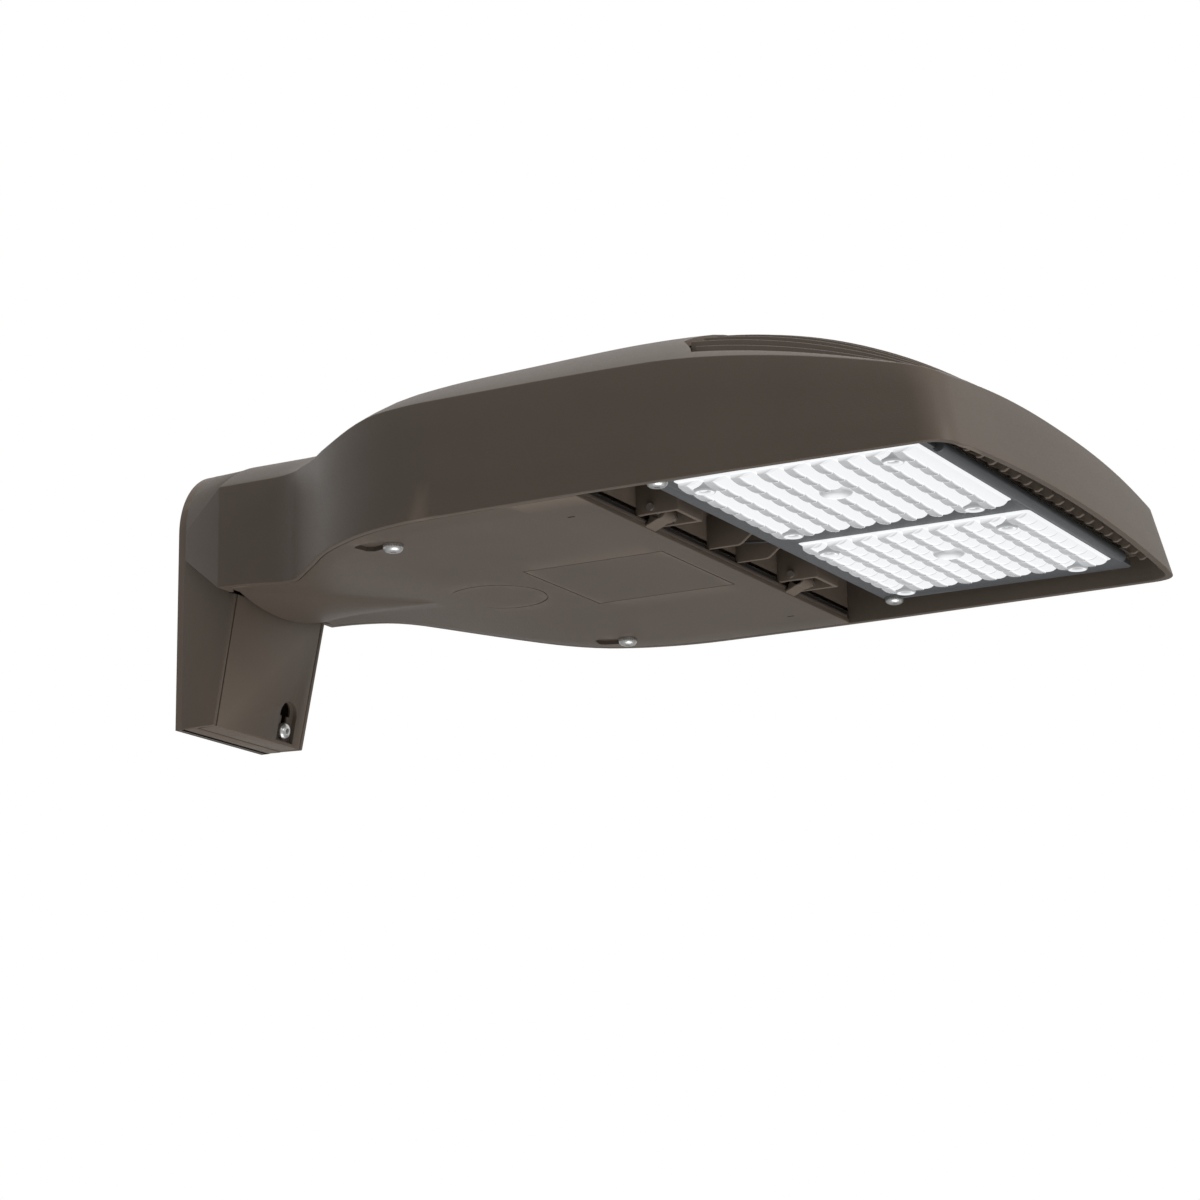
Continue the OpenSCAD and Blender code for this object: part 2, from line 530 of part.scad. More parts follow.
// ---- door ----
cross_steps = 10;
function swell_half(x) = 46 * clamp01((152 - x) / 109);
function swell_z(x, y) = let (h = swell_half(x))
    h < 0.1 || abs(y) >= h ? 0 : swell * clamp01((152 - x) / 109) * (1 - pow(y / h, 2));
module door_neck() {
    m = cross_steps + 1;
    edge = side_run(wall + door_gap, mouth_x, neck_end, neck_steps);
    low = [for (i = [0:neck_steps], j = [0:cross_steps])
        let (x = edge[i][0] + (i == 0 ? 0.8 : 0), y = edge[i][1] * (2 * j / cross_steps - 1))
        [x, y, under_z(x) - swell_z(x, y)]];
    n = len(low);
    grid = [for (i = [0:neck_steps - 1], j = [0:cross_steps - 1])
        let (a = i * m + j, b = a + 1, c = a + m, d = c + 1)
        each [[a, c, b], [b, c, d], [n + a, n + b, n + c], [n + b, n + d, n + c]]];
    ends = [for (j = [0:cross_steps - 1], e = [0, 1])
        let (a = e * neck_steps * m + j, b = a + 1)
        each e == 0 ? [[a, b, n + a], [b, n + b, n + a]] : [[a, n + a, b], [b, n + a, n + b]]];
    edges = [for (i = [0:neck_steps - 1], e = [0, 1])
        let (a = i * m + e * cross_steps, b = a + m)
        each e == 0 ? [[a, n + a, b], [b, n + a, n + b]] : [[a, b, n + a], [b, n + b, n + a]]];
    polyhedron(concat(low, [for (p = low) p + [0, 0, door_t]]), concat(grid, ends, edges));
}
disc_at = [194.2, 0];     // shallow ring pressed in the door's outside
disc_r = 28.2;
panel_x = 235.3;          // shallow rectangle beside it
panel_half = 44;
groove = [0.7, 0.35];     // width and depth of those lines
module knuckle() upright([[328, 0], [339.5, 0], [349.5, 5.2], [344, 12.4], [341.3, 8],
                          [339, door_t], [328, door_t]], hinge_y, 12);
module door() color(door_bronze) difference() {
    union() {
        linear_extrude(door_t) two_edges(concat(
            side_run(wall + door_gap, neck_end - 0.01, neck_end, 1), body_run(wall + door_gap),
            side_run(wall + door_gap, door_front - 1, door_front, 1)));
        door_neck();
        two_sides() {
            knuckle();
            translate([hinge_x, hinge_y + 6, hinge_z]) rotate([90, 0, 0])
                cylinder(r = 4.5, h = 12, $fn = 32);
        }
    }
    two_sides() {
        translate([hinge_x, hinge_y + 20, hinge_z]) rotate([90, 0, 0])
            cylinder(r = pin_r + pin_fit, h = 40, $fn = 32);
        translate([screw_x, screw_y, -1]) cylinder(r = 2.9, h = 6, $fn = 32);
        // tear-drop pocket beside each screw
        translate([0, 0, -1]) linear_extrude(2.4) polygon([
            [186, screw_y + 5.4], [188, screw_y + 2.2], [194, screw_y - 2.4],
            [203, screw_y - 3.4], [203, screw_y + 3.4], [190, screw_y + 7]]);
        translate([313.5, 130.7, -1]) cube([5, 1.6, 6]);
    }
    translate([disc_at[0], disc_at[1], -1]) linear_extrude(1 + groove[1]) difference() {
        circle(r = disc_r, $fn = 96);
        circle(r = disc_r - groove[0], $fn = 96);
    }
    translate([0, 0, -1]) linear_extrude(1 + groove[1]) difference() {
        translate([panel_x, -panel_half]) square([88, 2 * panel_half]);
        translate([panel_x + groove[0], groove[0] - panel_half])
            square([88 - 2 * groove[0], 2 * (panel_half - groove[0])]);
    }
}
module door_screws() color(steel) two_sides() translate([screw_x, screw_y, 0])
    pan_screw(5.6, 4.5, 2.5, 13);

// ---- block cover ----
slope = atan((box_front[0] - box_toe) / (box_front[1] - block_bottom));
cover_gap = 0.5;              // gap between the cover and the block's side walls
cover_h = 76.8;               // height of the cover, up to the arm's underside
cover_screw_at = [26, -56];   // Y and Z of the cover screw
// children drawn in the cover's own plane: X outwards, Z up the slope, origin at its toe
module on_slope() translate([box_toe, 0, block_bottom]) rotate([0, slope, 0]) children();
// the space between the side walls, which widens towards the front
function cover_y(x) =
    block_half - box_wall - cover_gap + (box_half - block_half) * x / box_front[0];
module cover_plan() two_edges([[0, cover_y(0)], [60, cover_y(60)]]);
// pocket round the cover screw, with an arched top; its floor is parallel to the slope
pocket_depth = 3;
pocket_r = 8.5;
module at_pocket(depth) on_slope()
    translate([depth, cover_screw_at[0], cover_screw_at[1] - block_bottom]) rotate([0, 90, 0])
        children();
module pocket(grow) {
    translate([-9.5, 0]) circle(r = pocket_r + grow, $fn = 48);
    translate([-9.5, -pocket_r - grow]) square([16 + grow, 2 * (pocket_r + grow)]);
}
module block_cover() color(door_bronze) difference() {
    union() {
        intersection() {
            on_slope() translate([-cover_t, -50, -4]) cube([cover_t, 100, 84]);
            translate([0, 0, block_bottom]) linear_extrude(cover_h) cover_plan();
        }
        intersection() {
            translate([15.2, -50, block_bottom]) cube([box_toe - 16.2, 100, cover_t]);
            translate([0, 0, block_bottom]) linear_extrude(cover_h) cover_plan();
        }
        at_pocket(-pocket_depth - 1.5) linear_extrude(pocket_depth) pocket(1.5);
    }
    at_pocket(-pocket_depth) linear_extrude(20) pocket(0);
    // keyhole in the pocket's floor: narrow where the screw clamps, wide above it
    at_pocket(-10) linear_extrude(20) {
        circle(r = 2.6, $fn = 32);
        translate([-cover_travel, -2.6]) square([cover_travel, 5.2]);
        translate([-cover_travel, 0]) circle(r = 5.4, $fn = 32);
    }
}
module at_cover_screw() at_pocket(0.1 - pocket_depth) rotate([0, 180, 0]) children();
module cover_screw() color(steel) at_cover_screw() pan_screw(5, 4, 2, 11);

housing();
gear_walls();
mounting_block();
arm_screws();
terminal_block();
ground_screw();
supply_leads();
wire_grommet();
driver_tray();
tray_screws();
driver();
driver_screws();
surge_protector();
door_gasket();
heat_sink();
sink_fins();
sink_screws();
led_board_near();
led_board_far();
leds_near();
leds_far();
optic_gasket_near();
optic_gasket_far();
optic_near();
optic_far();
optic_screws();
led_frame();
frame_screws();
wire_channel();
led_leads();
hinge_bracket_near();
hinge_bracket_far();
hinge_pins();
cover_screw();
door();
door_screws();
block_cover();
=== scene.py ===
"""Shoebox area light: the finish of every surface, over the fixed frame of solid parts."""

import math

import bmesh
import bpy
from mathutils import Matrix, Vector


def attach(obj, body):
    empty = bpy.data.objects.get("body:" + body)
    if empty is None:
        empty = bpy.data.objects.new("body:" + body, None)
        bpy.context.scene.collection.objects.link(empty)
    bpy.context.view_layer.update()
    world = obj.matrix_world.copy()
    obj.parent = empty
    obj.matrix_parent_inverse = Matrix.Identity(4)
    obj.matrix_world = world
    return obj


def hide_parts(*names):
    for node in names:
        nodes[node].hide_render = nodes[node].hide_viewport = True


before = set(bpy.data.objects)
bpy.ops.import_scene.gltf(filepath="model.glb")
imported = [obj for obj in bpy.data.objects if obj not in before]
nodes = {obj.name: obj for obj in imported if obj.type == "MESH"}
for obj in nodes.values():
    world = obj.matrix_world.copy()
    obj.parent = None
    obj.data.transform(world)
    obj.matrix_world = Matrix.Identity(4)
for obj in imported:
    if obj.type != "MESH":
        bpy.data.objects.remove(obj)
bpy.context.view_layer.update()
mm = 0.001

# ---- Camera ----
# A long lens below the nose, to the near side, looking up at the light engine.
eye = Vector((1.1295, -1.5808, -0.4493))
turn, rise, lean = (math.radians(a) for a in (28.81, 13.68, -0.71))
ahead = Vector((-math.sin(turn) * math.cos(rise), math.cos(turn) * math.cos(rise), math.sin(rise)))
level = Vector((math.cos(turn), math.sin(turn), 0))
over = level.cross(ahead)
right = level * math.cos(lean) + over * math.sin(lean)
up = over * math.cos(lean) - level * math.sin(lean)

camera = bpy.data.objects.new("camera", bpy.data.cameras.new("camera"))
camera.data.lens = 98.97
camera.data.clip_end = 50
camera.matrix_world = Matrix.Translation(eye) @ Matrix((right, up, -ahead)).transposed().to_4x4()
bpy.context.scene.collection.objects.link(camera)
bpy.context.scene.camera = camera
bpy.context.scene.view_settings.view_transform = "Standard"

# ---- Light and floor ----
# Large soft lamps: over the roof, off the nose and below the door. Each has its place and
# size in metres and its power in watts.
# The world is white to the camera and to reflections, and a plain grey to the object.
lamps = {
    "roof_lamp": ((0.3, -0.4, 2.8), 2.2, 33),
    "nose_lamp": ((3.0, -0.5, 0.75), 1.3, 44),
    "low_lamp": ((0.65, -0.15, -1.7), 1.3, 15),
}
aim = Vector((0.3, 0, 0.03))
for name, (place, size, power) in lamps.items():
    lamp = bpy.data.objects.new(name, bpy.data.lights.new(name, "AREA"))
    lamp.data.size = size
    lamp.data.energy = power
    lamp.location = place
    lamp.rotation_euler = (aim - Vector(place)).to_track_quat("-Z", "Y").to_euler()
    bpy.context.scene.collection.objects.link(lamp)

world = bpy.data.worlds.new("studio")
bpy.context.scene.world = world
world.use_nodes = True
sky = world.node_tree
sky.nodes.clear()
ray = sky.nodes.new("ShaderNodeLightPath")
lit = sky.nodes.new("ShaderNodeBackground")
lit.inputs["Color"].default_value = (0.96, 0.98, 1.0, 1)
lit.inputs["Strength"].default_value = 0.28
plain = sky.nodes.new("ShaderNodeBackground")
plain.inputs["Color"].default_value = (1, 1, 1, 1)
shown = ray.outputs["Is Camera Ray"]
for kind in ("Is Glossy Ray", "Is Transmission Ray"):
    either = sky.nodes.new("ShaderNodeMath")
    either.operation = "MAXIMUM"
    sky.links.new(shown, either.inputs[0])
    sky.links.new(ray.outputs[kind], either.inputs[1])
    shown = either.outputs[0]
choose = sky.nodes.new("ShaderNodeMixShader")
out = sky.nodes.new("ShaderNodeOutputWorld")
sky.links.new(shown, choose.inputs[0])
sky.links.new(lit.outputs[0], choose.inputs[1])
sky.links.new(plain.outputs[0], choose.inputs[2])
sky.links.new(choose.outputs[0], out.inputs[0])

floor_level = -1.9
bpy.ops.mesh.primitive_plane_add(size=30, location=(0, 0, floor_level))
floor = bpy.context.object
floor.name = "floor"
floor_paint = bpy.data.materials.new("floor_paint")
floor_paint.use_nodes = True
floor_skin = floor_paint.node_tree.nodes["Principled BSDF"]
floor_skin.inputs["Base Color"].default_value = (0.9, 0.9, 0.9, 1)
floor_skin.inputs["Roughness"].default_value = 0.9
floor.data.materials.append(floor_paint)

# ---- Housing ----
# One aluminium die casting, powder coated dark bronze. Its arm bolts to the wiring block,
# flares into a shallow body with a domed roof and ends in a leaning nose. Two webs part it
# into a wireway, a gear chamber and the light engine's bay.
body_half, nose_x, nose_lean, bow = 171, 547, 9, 3.5
arm_x, neck_end, peak_x, roof_h = 40, 190, 341, 112.5
wall, skin_wall = 4.0, 3.2
flange_x, arch_z, arch_r = 6, 54.5, 44
rear_web, front_web, ledge_z = (184, 187.5), (333.5, 337), (7, 10)
screw_x, screw_y = 206.4, 132
post_x, post_y, tray_top = (203, 319), 90, 52
screw_boss_r, tray_post_r = (6.5, 3.2), (5, 2.2)
lead_hole_at, lead_hole_r = (186, 46), 11
nose_arch, nose_arch_half = 6, 158
wall_steps, roof_steps = 3, 14


def smooth(t):
    """A soft step from 0 to 1."""
    t = min(max(t, 0), 1)
    return t * t * (3 - 2 * t)


def bend(a, b, c, reach, steps):
    """Points round the corner at b, which starts and ends at a reach from it."""
    a, b, c = (Vector(p[:2]) for p in (a, b, c))
    p, q = b + (a - b).normalized() * reach, b + (c - b).normalized() * reach
    return [(1 - t) ** 2 * p + 2 * t * (1 - t) * b + t * t * q for t in (i / steps for i in range(steps + 1))]


def outline(corners):
    """A path through [x, y, length of the rounding, steps before it, steps round it]."""
    points = [Vector(corners[0][:2])]
    for k in range(1, len(corners) - 1):
        x, y, reach, runs, steps = corners[k]
        arc = bend(*corners[k - 1:k + 2], reach, steps) if reach else [Vector((x, y))]
        start = points[-1]
        points += [start.lerp(arc[0], i / runs) for i in range(1, runs)] + arc
    return points


def rim(inset=0):
    """The lower edge of the wall from the flange to the nose, seen from above."""
    return outline([
        (flange_x, 46 - inset), (arm_x, 60 - inset, 0, 1, 0), (92, 60.5 - inset, 16, 5, 8),
        (193, body_half - 2.5 - inset, 60, 5, 14), (345, body_half - inset, 40, 8, 8),
        (nose_x - bow - inset, body_half - 5.5 - inset, 15, 22, 10), (nose_x - 0.5 - inset, 80)])


def brow(inset=0):
    """The line along which the wall meets the roof, seen from above."""
    x = nose_x - nose_lean - inset
    return outline([
        (flange_x, 46 - inset), (arm_x, 60 - inset, 0, 1, 0), (92, 60.5 - inset, 16, 5, 8),
        (193, body_half - 4 - inset, 60, 5, 14), (345, body_half - 2 - inset, 40, 8, 8),
        (x - bow, body_half - 11 - inset, 17, 22, 10), (x - 0.5, 80)])


rim_out, brow_out = rim(), brow()


def along(points, x):
    """Y of a path where it passes an X."""
    for a, b in zip(points, points[1:]):
        if a.x <= x <= b.x:
            return a.y + (b.y - a.y) * (x - a.x) / max(b.x - a.x, 1e-9)
    return points[-1].y


def nose_bow(y):
    """How far the nose has curved back at a Y."""
    return bow * (y / (body_half - 5.5)) ** 2


def nose_lift(y):
    """Height of the nose wall's lower edge, which arches over the ends of the fins."""
    return nose_arch * max(1 - (y / nose_arch_half) ** 2, 0)


def under_z(x):
    """Height of the lower edge: raised under the arm, then level."""
    return 13 * (1 - smooth((x - arm_x) / (neck_end - arm_x)))


def edge_z(x):
    """Height of the brow, which dips behind the flare and falls towards the nose."""
    dip = 7 * smooth((x - 90) / 60) * (1 - smooth((x - 160) / 55))
    return 73.5 - 9.5 * smooth((x - 80) / 130) - dip - 27.5 * min(max((x - 380) / 160, 0), 1) ** 1.7


def ridge_z(x):
    """Height of the roof along its middle."""
    if x < peak_x:
        return roof_h - 14 * min(max((peak_x - x) / 251, 0), 1) ** 1.3
    return roof_h - 70 * ((x - peak_x) / 199) ** 2.4


def roof_power(x):
    """How full the roof is across: 2 is a parabola, and more is flatter on top."""
    return 2 - 0.7 * smooth((x - 85) / 30) + 1.1 * smooth((x - 150) / 70)


def roof_z(x, y):
    return edge_z(x) + (ridge_z(x) - edge_z(x)) * (1 - (abs(y) / along(brow_out, x)) ** roof_power(x))


def add_mesh(name, verts, faces):
    """A linked object from points in millimetres, its doubles merged and its faces outwards."""
    mesh = bpy.data.meshes.new(name)
    mesh.from_pydata([Vector(v) * mm for v in verts], [], faces)
    bm = bmesh.new()
    bm.from_mesh(mesh)
    bmesh.ops.remove_doubles(bm, verts=bm.verts, dist=1e-6)
    bmesh.ops.recalc_face_normals(bm, faces=bm.faces)
    bm.to_mesh(mesh)
    bm.free()
    obj = bpy.data.objects.new(name, mesh)
    bpy.context.scene.collection.objects.link(obj)
    return obj


def shade(obj, angle=35):
    """Smooth faces, with hard edges where they meet at more than the angle."""
    bm = bmesh.new()
    bm.from_mesh(obj.data)
    for face in bm.faces:
        face.smooth = True
    for edge in bm.edges:
        edge.smooth = len(edge.link_faces) == 2 and edge.calc_face_angle(0) < math.radians(angle)
    bm.to_mesh(obj.data)
    bm.free()


def settle(obj):
    """Makes the modifiers' result the object's own mesh."""
    ready = bpy.data.meshes.new_from_object(obj.evaluated_get(bpy.context.evaluated_depsgraph_get()))
    obj.modifiers.clear()
    obj.data = ready


def round_edges(obj, width, segments=2, angle=35):
    """Rounds every edge sharper than the angle, by a width in millimetres."""
    bevel = obj.modifiers.new("round", "BEVEL")
    bevel.width = width * mm
    bevel.segments = segments
    bevel.limit_method = "ANGLE"
    bevel.angle_limit = math.radians(angle)
    settle(obj)
    shade(obj, angle)
    return obj


def carve(obj, cutter, how="DIFFERENCE"):
    """Cuts one solid out of another, or joins the two."""
    cut = obj.modifiers.new("cut", "BOOLEAN")
    cut.operation = how
    cut.solver = "EXACT"
    cut.object = cutter
    settle(obj)
    bpy.data.objects.remove(cutter)
    return obj


def join(first, *others):
    """Adds the other pieces' meshes to the first."""
    bm = bmesh.new()
    for obj in (first, *others):
        bm.from_mesh(obj.data)
    bm.to_mesh(first.data)
    bm.free()
    for obj in others:
        bpy.data.objects.remove(obj)
    return first


def loft(name, *loops):
    """A closed solid through loops of as many points each."""
    n = len(loops[0])
    sides = [(r * n + i, r * n + (i + 1) % n, (r + 1) * n + (i + 1) % n, (r + 1) * n + i)
             for r in range(len(loops) - 1) for i in range(n)]
    ends = [tuple(range(n)), tuple(range(len(loops) * n - n, len(loops) * n))]
    return add_mesh(name, [p for loop in loops for p in loop], sides + ends)


def prism(name, points, low, high):
    """A solid on an X-Y outline."""
    return loft(name, *([(p[0], p[1], z) for p in points] for z in (low, high)))


def upright(name, points, near, far):
    """A plate on an X-Z outline, from one Y to another; each may be a function of X."""
    at = [edge if callable(edge) else (lambda x, y=edge: y) for edge in (near, far)]
    return loft(name, *([(x, y(x), z) for x, z in points] for y in at))


def turned(name, profile, place=(0, 0, 0), steps=32, flutes=0):
    """A solid turned about Z from [radius, height, flute depth] points, closed on the axis."""
    verts, rings = [], []
    for r, z, *cut in profile:
        if r == 0:
            rings.append([len(verts)] * steps)
            verts.append(Vector(place) + Vector((0, 0, z)))
            continue
        rings.append(list(range(len(verts), len(verts) + steps)))
        for k in range(steps):
            a = 2 * math.pi * k / steps
            reach = r - (cut[0] * (0.5 - 0.5 * math.cos(flutes * a)) if cut else 0)
            verts.append(Vector(place) + Vector((reach * math.cos(a), reach * math.sin(a), z)))
    faces = []
    for low, high in zip(rings, rings[1:]):
        for k in range(steps):
            loop = dict.fromkeys((low[k], low[(k + 1) % steps], high[(k + 1) % steps], high[k]))
            faces.append(tuple(loop))
    return add_mesh(name, verts, [f for f in faces if len(f) > 2])


def shell_row(rim_point, brow_point, drop, mouth_y, nose=None):
    """Half of a cross-section, from the rim up the wall and over the roof to the middle."""
    x, y = rim_point
    bx, by = brow_point
    if x < flange_x + 0.01:
        low = arch_z - 17.6
        roof = [(x, by * math.cos(a), arch_z + (arch_r - drop) * math.sin(a))
                for a in (math.pi / 2 * k / roof_steps for k in range(roof_steps + 1))]
    else:
        low, high = under_z(x), edge_z(bx) - drop * 0.6
        top, power = ridge_z(bx) - drop, roof_power(bx)
        roof = []
        for k in range(roof_steps + 1):
            part = 1 - k / roof_steps
            at = bx if nose is None else nose - nose_bow(by * part)
            roof.append((at, by * part, high + (top - high) * (1 - part ** power)))
    foot, first = Vector((x, min(y, mouth_y), low)), Vector(roof[0])
    return [tuple(foot.lerp(first, k / wall_steps)) for k in range(wall_steps)] + roof


def full_row(half):
    """A whole cross-section from its half and the mirror of it."""
    return [(x, -y, z) for x, y, z in half] + [(x, y, z) for x, y, z in half[-2::-1]]


def housing_skin():
    """Outer and inner skin, row by row from the flange, closed by the rim and the nose."""
    rim_in, brow_in = rim(skin_wall), brow(skin_wall)
    last, tip = len(rim_out) - 1, nose_x - nose_lean
    verts, ends = [], []
    for i in range(last + 1):
        mouth_y = 43 if rim_out[i].x < 44 else rim_out[i].y - wall
        nose = (tip, tip - skin_wall) if i == last else (None, None)
        outer = shell_row(rim_out[i], brow_out[i], 0, body_half, nose[0])
        inner = shell_row(rim_in[i], brow_in[i], 3, mouth_y, nose[1])
        if i == 0:
            inner = [(flange_x, y, z) for x, y, z in inner]
        ends = [full_row(outer), full_row(inner)]
        verts += ends[0] + ends[1]
    n = len(ends[0])
    faces = []
    for i in range(last):
        a, b = i * 2 * n, (i + 1) * 2 * n
        for k in range(n - 1):
            faces.append((a + k, a + k + 1, b + k + 1, b + k))
            faces.append((a + n + k + 1, a + n + k, b + n + k, b + n + k + 1))
        for k in (0, n - 1):
            faces.append((a + k, b + k, b + n + k, a + n + k))
    faces += [(k, n + k, n + k + 1, k + 1) for k in range(n - 1)]
    # the leaning nose wall hangs from the last row
    columns, end = 2 * roof_steps, last * 2 * n
    sheets = []
    for skin, inset in ((0, 0), (n, wall)):
        toe_y = ends[skin > 0][0][1]
        columns_up = []
        for j in range(columns + 1):
            head = end + skin + wall_steps + j
            if j in (0, columns):
                order = range(wall_steps + 1) if j == 0 else range(n - 1, n - 2 - wall_steps, -1)
                columns_up.append([end + skin + k for k in order])
                continue
            y = toe_y * (1 - 2 * j / columns)
            foot = Vector((nose_x - inset - nose_bow(y), y, nose_lift(y)))
            columns_up.append(list(range(len(verts), len(verts) + wall_steps)) + [head])
            verts += [tuple(foot.lerp(Vector(verts[head]), k / wall_steps)) for k in range(wall_steps)]
        sheets.append(columns_up)
        for a, b in zip(columns_up, columns_up[1:]):
            faces += [(a[k], a[k + 1], b[k + 1], b[k]) for k in range(wall_steps)]
    for j in range(columns):
        faces.append((sheets[0][j][0], sheets[0][j + 1][0], sheets[1][j + 1][0], sheets[1][j][0]))
    return add_mesh("housing_shell", verts, faces)


def vent_nose(y):
    return nose_x - nose_lean - 5 - nose_bow(y)


def both_sides(edge):
    return list(edge) + [(x, -y) for x, y in reversed(edge)]


def side_run(inset, x0, x1, steps):
    """Points along the side wall, a step inside it."""
    return [(x, along(rim_out, x) - inset) for x in (x0 + (x1 - x0) * i / steps for i in range(steps + 1))]


def web(name, x0, x1, base):
    """A wall across the inside, which reaches into the middle of the skin all round."""
    x = (x0 + x1) / 2
    foot, top_y, high = along(rim_out, x) - 2, along(brow_out, x) - 1.5, edge_z(x) - 1
    half = [(foot, base)] + [
        (top_y * (1 - k / 10), high + (ridge_z(x) - 1.5 - high) * (1 - (1 - k / 10) ** roof_power(x)))
        for k in range(11)]
    loop = half + [(-y, z) for y, z in half[-2::-1]]
    return loft(name, *([(at, y, z) for y, z in loop] for at in (x0, x1)))


def boss(name, x, y, radius, bore, low, high):
    """A post cast on the roof, with a blind hole from below."""
    return turned(name, [[0, low + 14], [bore, low + 14], [bore, low], [radius - 0.6, low],
                         [radius, low + 0.6], [radius, high], [0, high]], (x, y, 0))


housing = round_edges(housing_skin(), 0.9, 3, 19)
vent = [(383, 130), (397, 150), (401, 157), (vent_nose(152) - 8, 156)]
vent += [(vent_nose(y), y) for y in (149, 120, 90, 60, 30)]
carve(housing, prism("vent_cutter", both_sides(vent), 30, 160))

ledge = prism("ledge", both_sides(side_run(2, rear_web[0], front_web[1], 30)), *ledge_z)
carve(ledge, prism("ledge_cutter", both_sides(side_run(wall + 10, rear_web[1] + 9, front_web[0] - 9, 30)),
                   0, 20))
rear_wall = web("rear_wall", *rear_web, ledge_z[0])
lead_hole = turned("lead_hole", [[0, -5], [lead_hole_r, -5], [lead_hole_r, 5], [0, 5]], steps=48)
lead_hole.data.transform(Matrix.Translation((lead_hole_at[0] * mm, 0, lead_hole_at[1] * mm))
                         @ Matrix.Rotation(math.pi / 2, 4, "Y"))
carve(rear_wall, lead_hole)
inside = [ledge, rear_wall, web("front_wall", *front_web, ledge_z[0])]
for side in (-1, 1):
    inside.append(boss("screw_boss", screw_x, side * screw_y, *screw_boss_r, ledge_z[0],
                       roof_z(screw_x - 7, screw_y + 7) - 2))
    for x in post_x:
        inside.append(boss("tray_post", x, side * post_y, *tray_post_r, tray_top,
                           roof_z(x - 5, post_y + 5) - 2))
shade(housing, 30)
for piece in inside:
    round_edges(piece, 0.5)
join(housing, *inside)


def link_ramp(tree, source, low, high, dark, light):
    """Turns a value between low and high into a colour between two."""
    ramp = tree.nodes.new("ShaderNodeValToRGB")
    ramp.color_ramp.elements[0].position = low
    ramp.color_ramp.elements[0].color = (*dark, 1)
    ramp.color_ramp.elements[1].position = high
    ramp.color_ramp.elements[1].color = (*light, 1)
    tree.links.new(source, ramp.inputs["Fac"])
    return ramp.outputs["Color"]


def noise(tree, place, scale, detail=3):
    """The value of a noise texture at a place."""
    texture = tree.nodes.new("ShaderNodeTexNoise")
    texture.inputs["Scale"].default_value = scale
    texture.inputs["Detail"].default_value = detail
    tree.links.new(place, texture.inputs["Vector"])
    return texture.outputs["Fac"]


def surface(name, colour, roughness, metal=0.0, spread=0.06, drift=9, grain=1200, relief=0.1,
            depth=0.0003, edge_wear_and_highlight=0.0):
    """A finish with slow drifts of tone, a fine grain in its relief and paler sharp edges, painted both as
    rubbed wear and as edge highlight.
    """
    paint = bpy.data.materials.new(name)
    paint.use_nodes = True
    tree = paint.node_tree
    skin = tree.nodes["Principled BSDF"]
    skin.inputs["Metallic"].default_value = metal
    place = tree.nodes.new("ShaderNodeTexCoord").outputs["Object"]
    shades = [[c * (1 - spread) for c in colour], [c * (1 + spread) for c in colour]]
    tone = link_ramp(tree, noise(tree, place, drift, 5), 0.35, 0.65, *shades)
    fine = noise(tree, place, grain, 2)
    # paler on sharp edges: partly rubbed wear, partly a painted highlight along the edges
    if edge_wear_and_highlight:
        edge = tree.nodes.new("ShaderNodeNewGeometry").outputs["Pointiness"]
        edge_wear_and_highlight_mask = link_ramp(tree, edge, 0.51, 0.60, (0, 0, 0), (edge_wear_and_highlight, edge_wear_and_highlight, edge_wear_and_highlight))
        blend = tree.nodes.new("ShaderNodeMix")
        blend.data_type = "RGBA"
        tree.links.new(edge_wear_and_highlight_mask, blend.inputs["Factor"])
        tree.links.new(tone, blend.inputs["A"])
        blend.inputs["B"].default_value = (*[min(c * 2.2, 1) for c in colour], 1)
        tone = blend.outputs["Result"]
    tree.links.new(tone, skin.inputs["Base Color"])
    gloss = link_ramp(tree, fine, 0.3, 0.7, [roughness - 0.06] * 3, [roughness + 0.06] * 3)
    tree.links.new(gloss, skin.inputs["Roughness"])
    bump = tree.nodes.new("ShaderNodeBump")
    bump.inputs["Strength"].default_value = relief
    bump.inputs["Distance"].default_value = depth
    tree.links.new(fine, bump.inputs["Height"])
    tree.links.new(bump.outputs["Normal"], skin.inputs["Normal"])
    return paint


bronze = surface("dark_bronze_powder_coat", (0.094, 0.073, 0.056), 0.52, grain=1500, relief=0.2,
                 edge_wear_and_highlight=0.5)
bronze.node_tree.nodes["Principled BSDF"].inputs["Specular IOR Level"].default_value = 0.25


def fit(obj, material, slot, body, *replaced):
    """Gives a finished piece its material, its body and the solids that it stands for."""
    obj.data.materials.clear()
    obj.data.materials.append(material)
    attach(obj, body)
    if replaced:
        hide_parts(*replaced)


def dress(material, *names):
    """Gives solids that keep their own shape a material."""
    for name in names:
        nodes[name].data.materials.clear()
        nodes[name].data.materials.append(material)


fit(housing, bronze, "bronze_coat", "fixture", "housing", "gear_walls")

# ---- Wiring block ----
# A cast block with a flange that bolts flat to the post, and two side walls that widen
# towards a sloping front. Three screws hold the arm to its round top.
block_half, block_bottom, box_half, box_wall = 44, -64.5, 47.5, 3
box_front, box_toe = (43, 12), 28.4
bolt_z, bolt_r, wire_r = (-38.1, 38.1), 5.25, 14
arm_bolt_angles, arm_bolt_circle, arm_head_r, arm_bolt_r = (22, 90, 158), 34, 5.5, 2.5


def block_side(x, inset=0):
    """Half the width of the block."""
    return block_half - inset + (box_half - block_half) * x / box_front[0]


flange_loop = [(-block_half, block_bottom)]
flange_loop += [(-arch_r * math.cos(a), arch_z + arch_r * math.sin(a))
                for a in (math.pi * k / 48 for k in range(49))]
flange_loop += [(block_half, block_bottom)]
flange = loft("flange", *([(x, y, z) for y, z in flange_loop] for x in (0, flange_x)))


def through(radius, y, z, x0=-1, x1=20, steps=48):
    """A round cutter along X."""
    rod = turned("rod", [[0, 0], [radius, 0], [radius, x1 - x0], [0, x1 - x0]], steps=steps)
    rod.data.transform(Matrix.Translation((x0 * mm, y * mm, z * mm)) @ Matrix.Rotation(math.pi / 2, 4, "Y"))
    return rod


